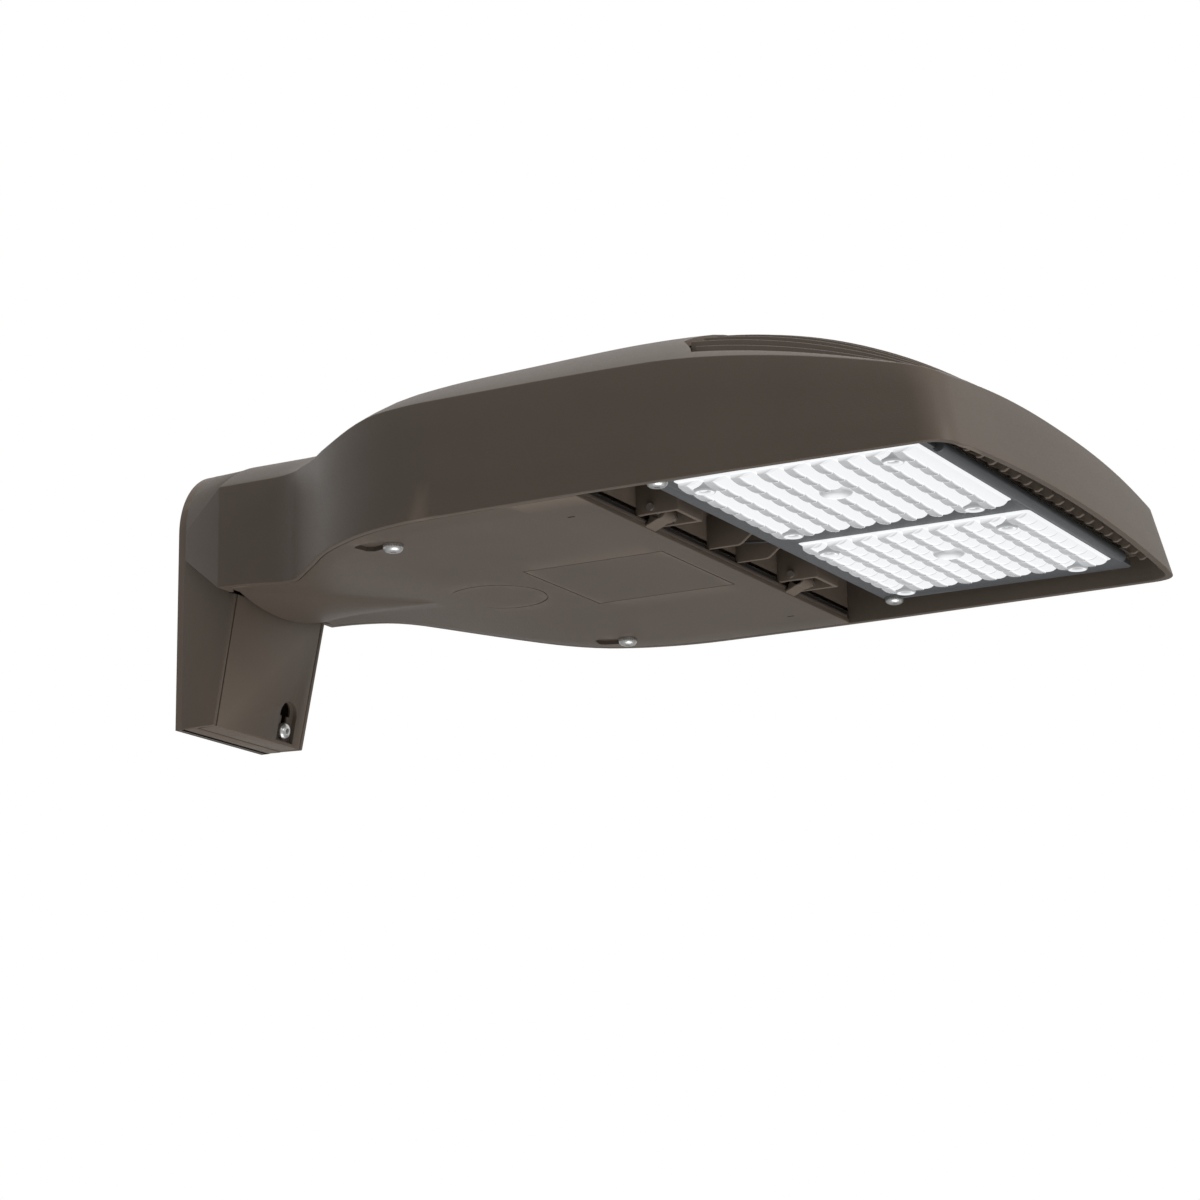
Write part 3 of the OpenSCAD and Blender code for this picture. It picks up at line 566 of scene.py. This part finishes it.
for z in bolt_z:
    carve(flange, through(bolt_r, 0, z))
carve(flange, through(wire_r, 0, 0))
for angle in (math.radians(a) for a in arm_bolt_angles):
    y, z = arm_bolt_circle * math.cos(angle), arch_z + arm_bolt_circle * math.sin(angle)
    carve(flange, through(arm_head_r, y, z, -1, 3.2))
    carve(flange, through(arm_bolt_r, y, z))
round_edges(flange, 0.9, 3)
side_shape = [(4, block_bottom + 0.4), (4, arch_z - 15.6), (arm_x, 12.7), box_front, (box_toe, block_bottom)]
walls = [upright("block_side", side_shape, lambda x, s=s: s * block_side(x, box_wall),
                 lambda x, s=s: s * (block_side(x) - 0.3)) for s in (-1, 1)]
base = prism("block_base", [(3, -43.2), (14, -44.6), (14, 44.6), (3, 43.2)], block_bottom, block_bottom + 3)
screw_boss = upright("cover_boss", [(5, -61), (5, -51), (23.5, -51), (23.5, -61)], 21, 31)
block = join(flange, *(round_edges(piece, 0.5) for piece in (*walls, base, screw_boss)))
fit(block, bronze, "bronze_coat", "fixture", "mounting_block")

# ---- Block cover ----
# A cast plate that closes the block's sloping front. It hangs on one screw, which sits in
# an arched pocket with a keyhole, so the cover slides down and off without losing it.
slope = math.atan((box_front[0] - box_toe) / (box_front[1] - block_bottom))
cover_t, pocket_depth, pocket_r, pocket_z = 2.5, 3, 8.5, (-6.5, 9.5)
slot_r, keyhole_r, side_gap, cover_rise = 2.6, 5.4, 0.9, 76.6
cover_screw_y, cover_screw_z = 26, -56
travel = 12


def on_slope(out_x, side, climb):
    """A point given by its distance out of the cover's face, its Y and its height up the slope."""
    x = box_toe + out_x * math.cos(slope) + climb * math.sin(slope)
    return (x, side, block_bottom - out_x * math.sin(slope) + climb * math.cos(slope))


def slope_solid(name, points, low, high):
    """A solid on a (Y, up the slope) outline between two depths below the cover's face."""
    return loft(name, *([on_slope(depth, y, climb) for y, climb in points] for depth in (low, high)))


def cover_side(x):
    """Half the width of the cover, a seam inside the block's walls."""
    return block_side(x, box_wall + side_gap)


def arched(radius, foot, crown, grow=0):
    """Y and height points of an arch over the cover screw."""
    rise_at = cover_screw_z - block_bottom
    arc = [((radius + grow) * math.cos(a), crown + (radius + grow) * math.sin(a))
           for a in (math.pi * k / 24 for k in range(25))]
    loop = [(radius + grow, foot - grow)] + arc + [(-radius - grow, foot - grow)]
    return [(cover_screw_y + y, rise_at + z) for y, z in loop]


top_climb = cover_rise / math.cos(slope)
cover_loop = [(s * cover_side(box_toe + climb * math.sin(slope)), climb)
              for s, climb in ((-1, 0.0), (-1, top_climb), (1, top_climb), (1, 0.0))]
cover = slope_solid("cover_plate", cover_loop, -cover_t, 0)
cup = slope_solid("pocket_cup", arched(pocket_r, *pocket_z, 1.5), -pocket_depth - 1.5, -1)
carve(cover, cup, "UNION")
carve(cover, slope_solid("pocket_cutter", arched(pocket_r, *pocket_z), -pocket_depth, 5))
carve(cover, slope_solid("slot_cutter", arched(slot_r, -slot_r, travel), -9, 5))
carve(cover, slope_solid("hole_cutter", arched(keyhole_r, travel - 3, travel), -9, 5))
back = prism("cover_return", [(15.2, -cover_side(15.2)), (box_toe - 0.4, -cover_side(box_toe)),
                              (box_toe - 0.4, cover_side(box_toe)), (15.2, cover_side(15.2))],
             block_bottom + 0.1, block_bottom + cover_t)
join(round_edges(cover, 0.6, 3), round_edges(back, 0.5))
fit(cover, bronze, "bronze_coat", "cover", "block_cover")

# ---- Gear door ----
# A cast door on two hinge pins at its nose end, held shut by two captive screws. Under the
# arm it swells down over the wireway. A circle and a rectangle are pressed into its face.
door_t, door_back, door_front, door_gap = 3, 44.8, 338, 0.5
swell, swell_half, swell_end, swell_run = 7.2, 46, 152, 109
disc_at, disc_r, panel_x, panel_half = (194.2, 0), 28.2, 235.3, 44
line_w, line_d = 0.8, 0.45
pocket_cut, drain_x, drain_y, lip_x, lip_top = 2.5, (313.9, 318.1), (130.8, 132.2), 337.1, 4.7
door_rows = [door_back + (neck_end - door_back) * i / 58 for i in range(59)]
door_rows += [neck_end + (door_front - neck_end) * i / 24 for i in range(1, 25)]
inner_columns, outer_columns = 10, 8


def swell_z(x, part):
    """Depth of the swelling at a part of its half-width."""
    return swell * min(max((swell_end - x) / swell_run, 0), 1) * (1 - part * part)


def door_half(x):
    """Half a row of the door's underside, from the middle to its edge."""
    edge = along(rim_out, x) - wall - door_gap
    bulge = max(swell_half * (swell_end - x) / swell_run, 1.5)
    row = [(x, bulge * k / inner_columns, under_z(x) - swell_z(x, k / inner_columns))
           for k in range(inner_columns + 1)]
    return row + [(x, bulge + (edge - bulge) * k / outer_columns, under_z(x))
                  for k in range(1, outer_columns + 1)]


def plate_from_rows(name, rows, thick):
    """A plate between rows of points and the same rows higher up."""
    m = len(rows[0])
    low = [p for row in rows for p in row]
    n = len(low)
    verts = low + [(x, y, z + thick) for x, y, z in low]
    faces = []
    for i in range(len(rows) - 1):
        for j in range(m - 1):
            a = i * m + j
            faces += [(a, a + 1, a + m + 1, a + m), (n + a, n + a + m, n + a + m + 1, n + a + 1)]
        for a in (i * m, i * m + m - 1):
            faces.append((a, a + m, n + a + m, n + a))
    for j in range(m - 1):
        for a in (j, n - m + j):
            faces.append((a, a + 1, n + a + 1, n + a))
    return add_mesh(name, verts, faces)


rows = []
for x in door_rows:
    half = door_half(x)
    rows.append([(px, -y, z) for px, y, z in half[:0:-1]] + half)
door = round_edges(plate_from_rows("door_plate", rows, door_t), 0.6, 3, 40)


def ring(points_out, points_in, low, high):
    """A cutter for a pressed line between two outlines."""
    return carve(prism("ring", points_out, low, high), prism("core", points_in, low - 1, high + 1))


def circle(x, y, radius, steps=96):
    return [(x + radius * math.cos(a), y + radius * math.sin(a))
            for a in (2 * math.pi * k / steps for k in range(steps))]


def rectangle(x0, x1, half):
    return [(x0, -half), (x1, -half), (x1, half), (x0, half)]


carve(door, ring(circle(*disc_at, disc_r), circle(*disc_at, disc_r - line_w), -3, line_d))
carve(door, ring(rectangle(panel_x, panel_x + 88, panel_half),
                 rectangle(panel_x + line_w, panel_x + 88 - line_w, panel_half - line_w), -3, line_d))
pocket_side = [(184.4, screw_y + 4.5), (187, screw_y + 7.2), (192, screw_y + 9), (198, screw_y + 9.6),
               (203.5, screw_y + 8.6), (205, screw_y + 6)]
pocket_back = [(203, screw_y - 3), (196, screw_y - 5.6), (190, screw_y - 7), (186.5, screw_y - 5)]
for side in (-1, 1):
    pocket = [(x, side * y) for x, y in pocket_side + pocket_back]
    carve(door, prism("pocket_cutter", pocket, -2, pocket_cut))
    carve(door, prism("screw_cutter", circle(screw_x, side * screw_y, 2.9, 32), -2, 9))
    drain = [(drain_x[i], side * drain_y[j]) for i, j in ((0, 0), (1, 0), (1, 1), (0, 1))]
    carve(door, prism("drain_cutter", drain, -2, 9))
shade(door, 30)

hinge_x, hinge_z, hinge_y, pin_r = 346, 8.5, 85, 2
arm_shape = [(328, 0.6), (337.6, 0.6), (349, 5.6), (343.6, 12.2), (341, 8), (339, door_t), (328, door_t)]
for side in (-1, 1):
    arm = round_edges(upright("hinge_arm", arm_shape, side * hinge_y - 6, side * hinge_y + 6), 0.5)
    eye_ring = [[pin_r + 0.06, -6], [4.1, -6], [4.5, -5.6], [4.5, 5.6], [4.1, 6], [pin_r + 0.06, 6],
                [pin_r + 0.06, -6]]
    knuckle = turned("knuckle", eye_ring, steps=48)
    knuckle.data.transform(Matrix.Translation((hinge_x * mm, side * hinge_y * mm, hinge_z * mm))
                           @ Matrix.Rotation(math.pi / 2, 4, "X"))
    shade(knuckle)
    join(door, arm, knuckle)
lip_half = along(rim_out, door_front) - wall - 3
lip = prism("lip", [(lip_x, -lip_half), (door_front, -lip_half), (door_front, lip_half), (lip_x, lip_half)],
            door_t - 0.4, lip_top)
join(door, round_edges(lip, 0.2))
fit(door, bronze, "bronze_coat", "gear_door", "door")

# ---- Bay between the door and the light engine ----
# Two open boxes cast on the front web hold the hinge pins, and two ribs with a web between
# them carry the LED leads across.
bracket_x, ear_gap, ear_t = (337, 362), 24, 2.5
rib_y, rib_t = (-16, 19), 2.4
for side, node in ((-1, "hinge_bracket_near"), (1, "hinge_bracket_far")):
    mid = side * hinge_y
    ear = [(bracket_x[0] - 1, 5), (bracket_x[1], 5), (bracket_x[1], 25), (bracket_x[0] - 1, 34)]
    parts = [upright("ear", ear, mid + s * ear_gap / 2, mid + s * (ear_gap / 2 + ear_t)) for s in (-1, 1)]
    parts.append(upright("front_plate", [(359.5, 5), (362, 5), (362, 17), (359.5, 17)], mid - 13, mid + 13))
    parts.append(upright("back_plate", [(336, 16), (339.5, 16), (339.5, 34), (336, 34)], mid - 13, mid + 13))
    gusset = [(336, mid - 12.5), (338.5, mid - 12.5), (347, mid - 12.5), (336, mid - 10.5)]
    parts.append(prism("gusset", gusset, 5, 7.5))
    for piece in parts:
        round_edges(piece, 0.6, 2)
    post = [[0, 13.2], [1.6, 13], [5.2, 13.4], [5.2, 14.2], [2.9, 20], [2.4, 33], [0, 33]]
    parts.append(turned("post", post, (354, mid, 0)))
    shade(parts[-1])
    bracket = join(*parts)
    bracket.name = node + "_casting"
    fit(bracket, bronze, "bronze_coat", "fixture", node)

rib_shape = [(336, 5), (356, 5), (358, 5.8), (366, 12), (366, 24), (336, 24)]
ribs = [round_edges(upright("rib", rib_shape, y - rib_t / 2, y + rib_t / 2), 0.6, 2) for y in rib_y]
bridge = upright("bridge", [(336, 21.6), (366, 21.6), (366, 24), (336, 24)], rib_y[0], rib_y[1])
channel = join(*ribs, round_edges(bridge, 0.4))
channel.name = "lead_channel"
fit(channel, bronze, "bronze_coat", "fixture", "wire_channel")

# ---- Light-engine frame ----
# A pressed aluminium frame, coated dark blue-grey, with a square window for each lens array and
# a rolled bead along its nose edge. It clamps the arrays and hangs on two screws.
frame_x, frame_half, frame_z = (369, 521), 152, (7, 9.5)
window_x, windows = (381, 517), ((-143, -17), (4, 130.5))
frame_bolt = (375.5, 148)
bead_x, bead_half, bead_r = 522.5, 129, 3.5


def rounded_box(x0, x1, y0, y1, radius, steps=6):
    corners = [(x1 - radius, y1 - radius, 0), (x0 + radius, y1 - radius, 90),
               (x0 + radius, y0 + radius, 180), (x1 - radius, y0 + radius, 270)]
    return [(cx + radius * math.cos(math.radians(a + 90 * k / steps)),
             cy + radius * math.sin(math.radians(a + 90 * k / steps)))
            for cx, cy, a in corners for k in range(steps + 1)]


led_frame = prism("engine_frame", rounded_box(*frame_x, -frame_half, frame_half, 4), *frame_z)
for side, window in zip((-1, 1), windows):
    carve(led_frame, prism("window_cutter", rounded_box(*window_x, *window, 3), 0, 20))
    carve(led_frame, prism("bolt_cutter", circle(frame_bolt[0], side * frame_bolt[1], 2.2, 24), 0, 20))
round_edges(led_frame, 0.7, 3)
bead_section = [(bead_x + bead_r * math.cos(a), frame_z[0] + 1 + bead_r * math.sin(a))
                for a in (2 * math.pi * k / 28 for k in range(28))]
bead = upright("bead", bead_section, -bead_half, bead_half)
join(led_frame, round_edges(bead, 0.8, 3, 50))
frame_coat = surface("blue_grey_coat", (0.064, 0.068, 0.072), 0.42, spread=0.05, grain=900,
                     relief=0.06, edge_wear_and_highlight=0.6)
fit(led_frame, frame_coat, "grey_coat", "fixture", "led_frame")

# ---- Lens arrays ----
# Each array is one clear acrylic moulding: nine by eight lenses with a dome in place of the
# middle one, and a ring round each of its four screws. Their white glow is painted light, and
# the ribs, the seams and the hollows carry painted shade.
lens_pitch, lens_columns, lens_rows, lens_x = 15, 9, 8, 379
lens_starts = (-137.4, 10)
optic_bolts = [(392, 22.7), (392, 126.8), (497.3, 22.7), (497.3, 126.8)]
dome_cell, rib = (4, 3), 2
face_z = frame_z[0]


def copies_tree():
    """Geometry nodes that set a copy of one part on every point, each turned a step further."""
    tree = bpy.data.node_groups.new("copies", "GeometryNodeTree")
    for label, kind in (("Geometry", "Geometry"), ("Part", "Object"), ("Finish", "Material"),
                        ("Turn", "Float")):
        tree.interface.new_socket(label, in_out="INPUT", socket_type="NodeSocket" + kind)
    tree.interface.new_socket("Geometry", in_out="OUTPUT", socket_type="NodeSocketGeometry")
    new, link = tree.nodes.new, tree.links.new
    given, part = new("NodeGroupInput"), new("GeometryNodeObjectInfo")
    place, count = new("GeometryNodeInstanceOnPoints"), new("GeometryNodeInputIndex")
    step, angle = new("ShaderNodeMath"), new("ShaderNodeCombineXYZ")
    real, paint = new("GeometryNodeRealizeInstances"), new("GeometryNodeSetMaterial")
    done = new("NodeGroupOutput")
    step.operation = "MULTIPLY"
    link(given.outputs["Part"], part.inputs["Object"])
    link(count.outputs["Index"], step.inputs[0])
    link(given.outputs["Turn"], step.inputs[1])
    link(step.outputs[0], angle.inputs["Z"])
    link(given.outputs["Geometry"], place.inputs["Points"])
    link(part.outputs["Geometry"], place.inputs["Instance"])
    link(angle.outputs[0], place.inputs["Rotation"])
    link(place.outputs["Instances"], real.inputs["Geometry"])
    link(real.outputs["Geometry"], paint.inputs["Geometry"])
    link(given.outputs["Finish"], paint.inputs["Material"])
    link(paint.outputs["Geometry"], done.inputs["Geometry"])
    return tree


copies = copies_tree()


def set_copies(name, part, spots, material, turn_step=0.0):
    """One mesh of copies of the part, at spots in millimetres; the part itself goes."""
    mesh = bpy.data.meshes.new(name)
    mesh.from_pydata([Vector(p) * mm for p in spots], [], [])
    obj = bpy.data.objects.new(name, mesh)
    bpy.context.scene.collection.objects.link(obj)
    layer = obj.modifiers.new("copies", "NODES")
    layer.node_group = copies
    given = {"Part": part, "Finish": material, "Turn": turn_step}
    for socket in copies.interface.items_tree:
        if socket.in_out == "INPUT" and socket.name in given:
            layer[socket.identifier] = given[socket.name]
    settle(obj)
    bpy.data.objects.remove(part)
    return obj


def paint_glow_and_shade(obj, values):
    """Stores each point's painted brightness, from 0 to 1: high for painted glow, low for painted shade."""
    obj.data.attributes.new("painted_glow_and_shade", "FLOAT", "POINT").data.foreach_set("value", values)
    return obj


def lens(name, first, tilt):
    """One lens below the frame's face. A flank falls to a rib, which steps up to a full lobe."""
    # distance along X, depth and painted brightness, where the rib takes its painted shade from the stations
    # along Y
    section = [(0, 0, 0.95), (2.8, 1.3, 0.9), (3.2, 2.9, rib), (5.6, 3.4, rib), (7.9, 3.3, rib),
               (8.2, 2.4, 1), (10.6, 2.5, 1), (12.6, 2.1, 1), (14, 1.2, 1), (15, 0, 1)]
    # points across Y, each with the painted shade of the rib there; the zeros paint dark ticks of shade
    # between the lenses
    stations = [(0, 0.42), (0.7, 0.40), (4.5, 0.36), (9, 0.28), (12.2, 0.20), (12.8, 0), (13.8, 0),
                (14.2, 0.8), (15, 0.9)]
    section = [row for row in section if row[0] > first]
    if first > 0:
        section.insert(0, (first, 0, 0.9))
    verts, painted_brightness = [], []
    for along_x, depth, level in section:
        for across, rib_painted_shade in stations:
            part, full = across / lens_pitch, min(depth, 1)
            belly = 1 - 0.12 * (2 * part - 1) ** 2
            slant = 1 + tilt * (0.5 - part) * full
            arch = part * (1 - part) * 1.6 if level == rib else 0.2
            verts.append((along_x - lens_pitch / 2, across - lens_pitch / 2,
                          -depth * belly * slant - (arch - 0.2) * full))
            # a darker line along one edge of each lobe on the far array: painted shade at the seam
            seam = 0.62 if tilt > 0 and across == 0 and 8.2 < along_x < 15 else 1
            painted_brightness.append(rib_painted_shade if level == rib else min(level, seam))
    m, n = len(stations), len(verts)
    faces = [(a, a + 1, a + m + 1, a + m) for i in range(len(section) - 1)
             for a in range(i * m, i * m + m - 1)]
    corners = [verts[k] for k in (0, m - 1, n - 1, n - m)]
    verts += [(x, y, 1) for x, y, z in corners]
    painted_brightness += [1] * 4
    loops = (range(m), range(m - 1, n, m), range(n - 1, n - m - 1, -1), range(n - m, -1, -m))
    faces += [tuple(loop) + (n + (k + 1) % 4, n + k) for k, loop in enumerate(loops)]
    faces.append((n, n + 1, n + 2, n + 3))
    piece = add_mesh(name, verts, faces)
    shade(piece, 32)
    return paint_glow_and_shade(piece, painted_brightness)


# The lenses glow by painted light: the emission paints them white, and where the stored value is low it
# paints shade, both in the emission and in a darker base colour.
acrylic = bpy.data.materials.new("lens_acrylic_painted_glow")
acrylic.use_nodes = True
painted_glow_and_shade = acrylic.node_tree
lens_skin = painted_glow_and_shade.nodes["Principled BSDF"]
lens_skin.inputs["Roughness"].default_value = 0.2
lens_skin.inputs["Emission Strength"].default_value = 1.0
stored = painted_glow_and_shade.nodes.new("ShaderNodeAttribute")
stored.attribute_name = "painted_glow_and_shade"
ripple = noise(painted_glow_and_shade, painted_glow_and_shade.nodes.new("ShaderNodeTexCoord").outputs["Object"], 260, 2)
soften = painted_glow_and_shade.nodes.new("ShaderNodeMath")
soften.operation = "MULTIPLY_ADD"
soften.inputs[1].default_value = 0.10
painted_glow_and_shade.links.new(ripple, soften.inputs[0])
painted_glow_and_shade.links.new(stored.outputs["Fac"], soften.inputs[2])
painted_glow_colour = link_ramp(painted_glow_and_shade, soften.outputs[0], 0.05, 1.0, (0.05, 0.055, 0.06), (0.74, 0.75, 0.76))
painted_glow_and_shade.links.new(painted_glow_colour, lens_skin.inputs["Emission Color"])
base_with_painted_shade = link_ramp(painted_glow_and_shade, soften.outputs[0], 0.0, 0.35, (0.05, 0.052, 0.055), (0.16, 0.163, 0.167))
painted_glow_and_shade.links.new(base_with_painted_shade, lens_skin.inputs["Base Color"])


def ring_with_painted_glow(name, profile):
    """A round moulding from [radius, height, painted brightness] points."""
    piece = turned(name, [p[:2] for p in profile], steps=36)
    shade(piece, 40)
    spots = []
    for vert in piece.data.vertices:
        reach = math.hypot(vert.co.x, vert.co.y) / mm
        near = min(profile, key=lambda p: abs(p[0] - reach) + abs(p[1] - vert.co.z / mm))
        spots.append(near[2])
    return paint_glow_and_shade(piece, spots)


# Each point's third value is its painted brightness: the low values paint shade in the screw holes, on the
# rings' outer flanks and on the dome's flank.
boss_ring = [[0, 1.2, 0], [2.2, 1.2, 0], [2.9, 1.1, 0], [3.1, -1.4, 0], [3.3, -3.4, 0.9], [4.6, -3.9, 1],
             [5.4, -3.8, 0.35], [6.1, -2.6, 0.2], [6.4, 0, 0.3], [6.4, 1, 1], [0, 2.2, 1]]
centre_dome = [[0, -4.4, 1], [2.5, -4.3, 1], [5, -4.0, 0.8], [7, -3.4, 0.45], [8.4, -2.6, 0.35],
               [9.4, -1.0, 0.8], [9.6, 1, 1], [0, 1, 1]]
for side, node, tilt in ((0, "optic_near", -0.2), (1, "optic_far", 0.2)):
    cells = [(lens_x + lens_pitch * (i + 0.5), lens_starts[side] + lens_pitch * (j + 0.5), face_z)
             for i in range(lens_columns) for j in range(lens_rows) if (i, j) != dome_cell]
    array = set_copies("lens_array", lens("lens", 0, tilt), cells[lens_rows:], acrylic)
    first_row = set_copies("first_lenses", lens("edge_lens", 2.9, tilt), cells[:lens_rows], acrylic)
    bolts = [(x, y if side else -y, face_z) for x, y in optic_bolts]
    bosses = set_copies("bosses", ring_with_painted_glow("boss_ring", boss_ring), bolts, acrylic)
    dome = ring_with_painted_glow("centre_dome", centre_dome)
    dome.data.transform(Matrix.Translation(Vector((lens_x + lens_pitch * (dome_cell[0] + 0.5),
                                                   lens_starts[side] + lens_pitch * (dome_cell[1] + 0.5),
                                                   face_z)) * mm))
    y0, y1 = windows[side]
    sheet = prism("lens_sheet", rounded_box(window_x[0] + 0.3, window_x[1] - 0.3, y0 + 0.3, y1 - 0.3, 2.8),
                  face_z + 0.1, frame_z[1] + 1.6)
    for x, y, z in bolts:
        carve(sheet, prism("hole", circle(x, y, 3.0, 32), 0, 8.2))
    round_edges(sheet, 0.3)
    paint_glow_and_shade(sheet, [1] * len(sheet.data.vertices))
    array = join(array, first_row, bosses, dome, sheet)
    array.name = node + "_moulding"
    fit(array, acrylic, "lens_acrylic", "fixture", node)

# ---- Screws ----
# Stainless screws. The ones turned by hand in the field have a domed head with a fluted
# rim and a small socket; the ones inside are plain pan heads.
steel = surface("satin_stainless_steel", (0.60, 0.60, 0.585), 0.34, metal=1.0, spread=0.05, drift=60,
                grain=2500, relief=0.08, edge_wear_and_highlight=0.3)


def dome_screw(radius, height, socket, shank_r, shank):
    """A domed head with a fluted rim and a round socket."""
    profile = [[0, -height + 1.9], [socket * 0.8, -height + 1.9], [socket, -height + 0.1],
               [socket + 0.35, -height], [radius * 0.52, -height * 0.965], [radius * 0.75, -height * 0.86],
               [radius * 0.91, -height * 0.66], [radius * 0.985, -height * 0.46, 0.15],
               [radius, -height * 0.38, 0.38], [radius, -0.45, 0.38], [radius - 0.35, 0],
               [shank_r, 0], [shank_r, shank - 0.8], [shank_r - 0.7, shank], [0, shank]]
    screw = turned("dome_screw", profile, steps=144, flutes=24)
    shade(screw, 30)
    return screw


def pan_screw(radius, height, shank_r, shank):
    """A pan head with a six-sided socket."""
    profile = [[0, -height + 1.2], [radius * 0.33, -height + 1.2], [radius * 0.36, -height],
               [radius * 0.62, -height], [radius * 0.9, -height * 0.8], [radius, -height * 0.42],
               [radius, -0.2], [radius - 0.2, 0], [shank_r, 0], [shank_r, shank - 0.5],
               [shank_r - 0.5, shank], [0, shank]]
    screw = turned("pan_screw", profile, steps=36)
    shade(screw, 30)
    return screw


def along_y(points):
    """Each place and its mirror on the other side."""
    return [(x, s * y, z) for x, y, z in points for s in (-1, 1)]


tray_bolts = [(x, post_y, 50) for x in post_x]
driver_bolts = [(x, 79, 47) for x in (224, 266)]
sink_bolts = [(x, 156.5, 13) for x in (386, 504)]
for node, screw, spots in (
        ("door_screws", dome_screw(5.6, 4.5, 1.5, 2.5, 13), [(screw_x, screw_y, 0)]),
        ("frame_screws", dome_screw(5.6, 3.9, 1.5, 2, 10), [(*frame_bolt, frame_z[0])]),
        ("optic_screws", pan_screw(2.9, 1.6, 1.5, 9), [(x, y, 7.6) for x, y in optic_bolts]),
        ("tray_screws", pan_screw(4, 2.4, 2, 12), tray_bolts),
        ("driver_screws", pan_screw(3.8, 2.2, 2, 5), driver_bolts),
        ("sink_screws", pan_screw(3.8, 2.6, 2.1, 15), sink_bolts)):
    made = set_copies(node + "_steel", screw, along_y(spots), steel, 0.7)
    fit(made, steel, "stainless_steel", "gear_door" if node == "door_screws" else "fixture", node)

cover_screw = dome_screw(5, 4, 1.7, 2, 11)
into = on_slope(0.1 - pocket_depth, cover_screw_y, cover_screw_z - block_bottom)
cover_screw.data.transform(Matrix.Translation(Vector(into) * mm)
                           @ Matrix.Rotation(slope - math.pi / 2, 4, "Y"))
cover_screw.name = "cover_screw_steel"
fit(cover_screw, steel, "stainless_steel", "fixture", "cover_screw")
dress(steel, "arm_screws", "hinge_pins")

# ---- Heat sink ----
# An aluminium plate behind the boards with twenty fins swaged into it. Each fin hooks down
# over the plate's nose edge, and the air rises between them to the opening in the roof.
sink_x, sink_z, sink_t, fin_t, fin_pitch = (367, 523), 13, 5, 2.5, 15
fins = []
for k in range(10):
    y = fin_pitch * (k + 0.5)
    x0, x1 = max(386.5, 402 - (150 - y) * 0.7), vent_nose(y) - 3
    crown = [(x, roof_z(x, y) - 1.2) for x in (x1 + (x0 - x1) * i / 24 for i in range(25))]
    hook = [(x0, sink_z + sink_t), (sink_x[1] + 0.3, sink_z + sink_t), (sink_x[1] + 0.3, sink_z),
            (x1 + 0.5, 9.8), (x1 + 1.2, 8.2), (x1 + 3.4, 8.0), (x1 + 6, 9.4), (x1 + 3, 30)]
    for side in (-1, 1):
        fins.append(upright("fin", hook + crown, side * y - fin_t / 2, side * y + fin_t / 2))
cooling = join(*(round_edges(fin, 0.5, 2, 60) for fin in fins))
cooling.name = "cooling_fins"
fit(cooling, bronze, "bronze_coat", "fixture", "sink_fins")
dress(bronze, "heat_sink")

# ---- Boards, gaskets and wiring ----
# White LED boards under the arrays, black rubber gaskets, and PVC-insulated leads.
board_white = surface("white_solder_mask", (0.80, 0.81, 0.80), 0.35, spread=0.03, grain=700)
phosphor = surface("led_phosphor", (0.85, 0.72, 0.22), 0.4, spread=0.05, drift=300)
rubber = surface("black_rubber", (0.026, 0.024, 0.022), 0.75, spread=0.12, grain=900, relief=0.2)
insulation = surface("wire_insulation", (0.035, 0.035, 0.037), 0.35, spread=0.1, drift=40)
terminal = surface("terminal_plastic", (0.62, 0.60, 0.54), 0.5, spread=0.05, grain=800, relief=0.12)
green = surface("green_ground_paint", (0.03, 0.22, 0.07), 0.4, spread=0.08)
dress(board_white, "led_board_near", "led_board_far")
dress(phosphor, "leds_near", "leds_far")
dress(rubber, "optic_gasket_near", "optic_gasket_far", "door_gasket", "wire_grommet")
dress(insulation, "supply_leads", "led_leads")
dress(terminal, "terminal_block")
dress(green, "ground_screw")

# ---- Gear ----
# The driver and the surge protector hang from a zinc-plated tray over the door.
zinc = surface("zinc_plate", (0.50, 0.51, 0.52), 0.36, metal=0.9, spread=0.16, drift=55, grain=800)
case_paint = surface("driver_case_paint", (0.66, 0.67, 0.67), 0.42, spread=0.03, edge_wear_and_highlight=0.3)
black_case = surface("surge_case_plastic", (0.045, 0.045, 0.047), 0.5, spread=0.1, grain=600, relief=0.2)
dress(zinc, "driver_tray")
dress(case_paint, "driver")
dress(black_case, "surge_protector")
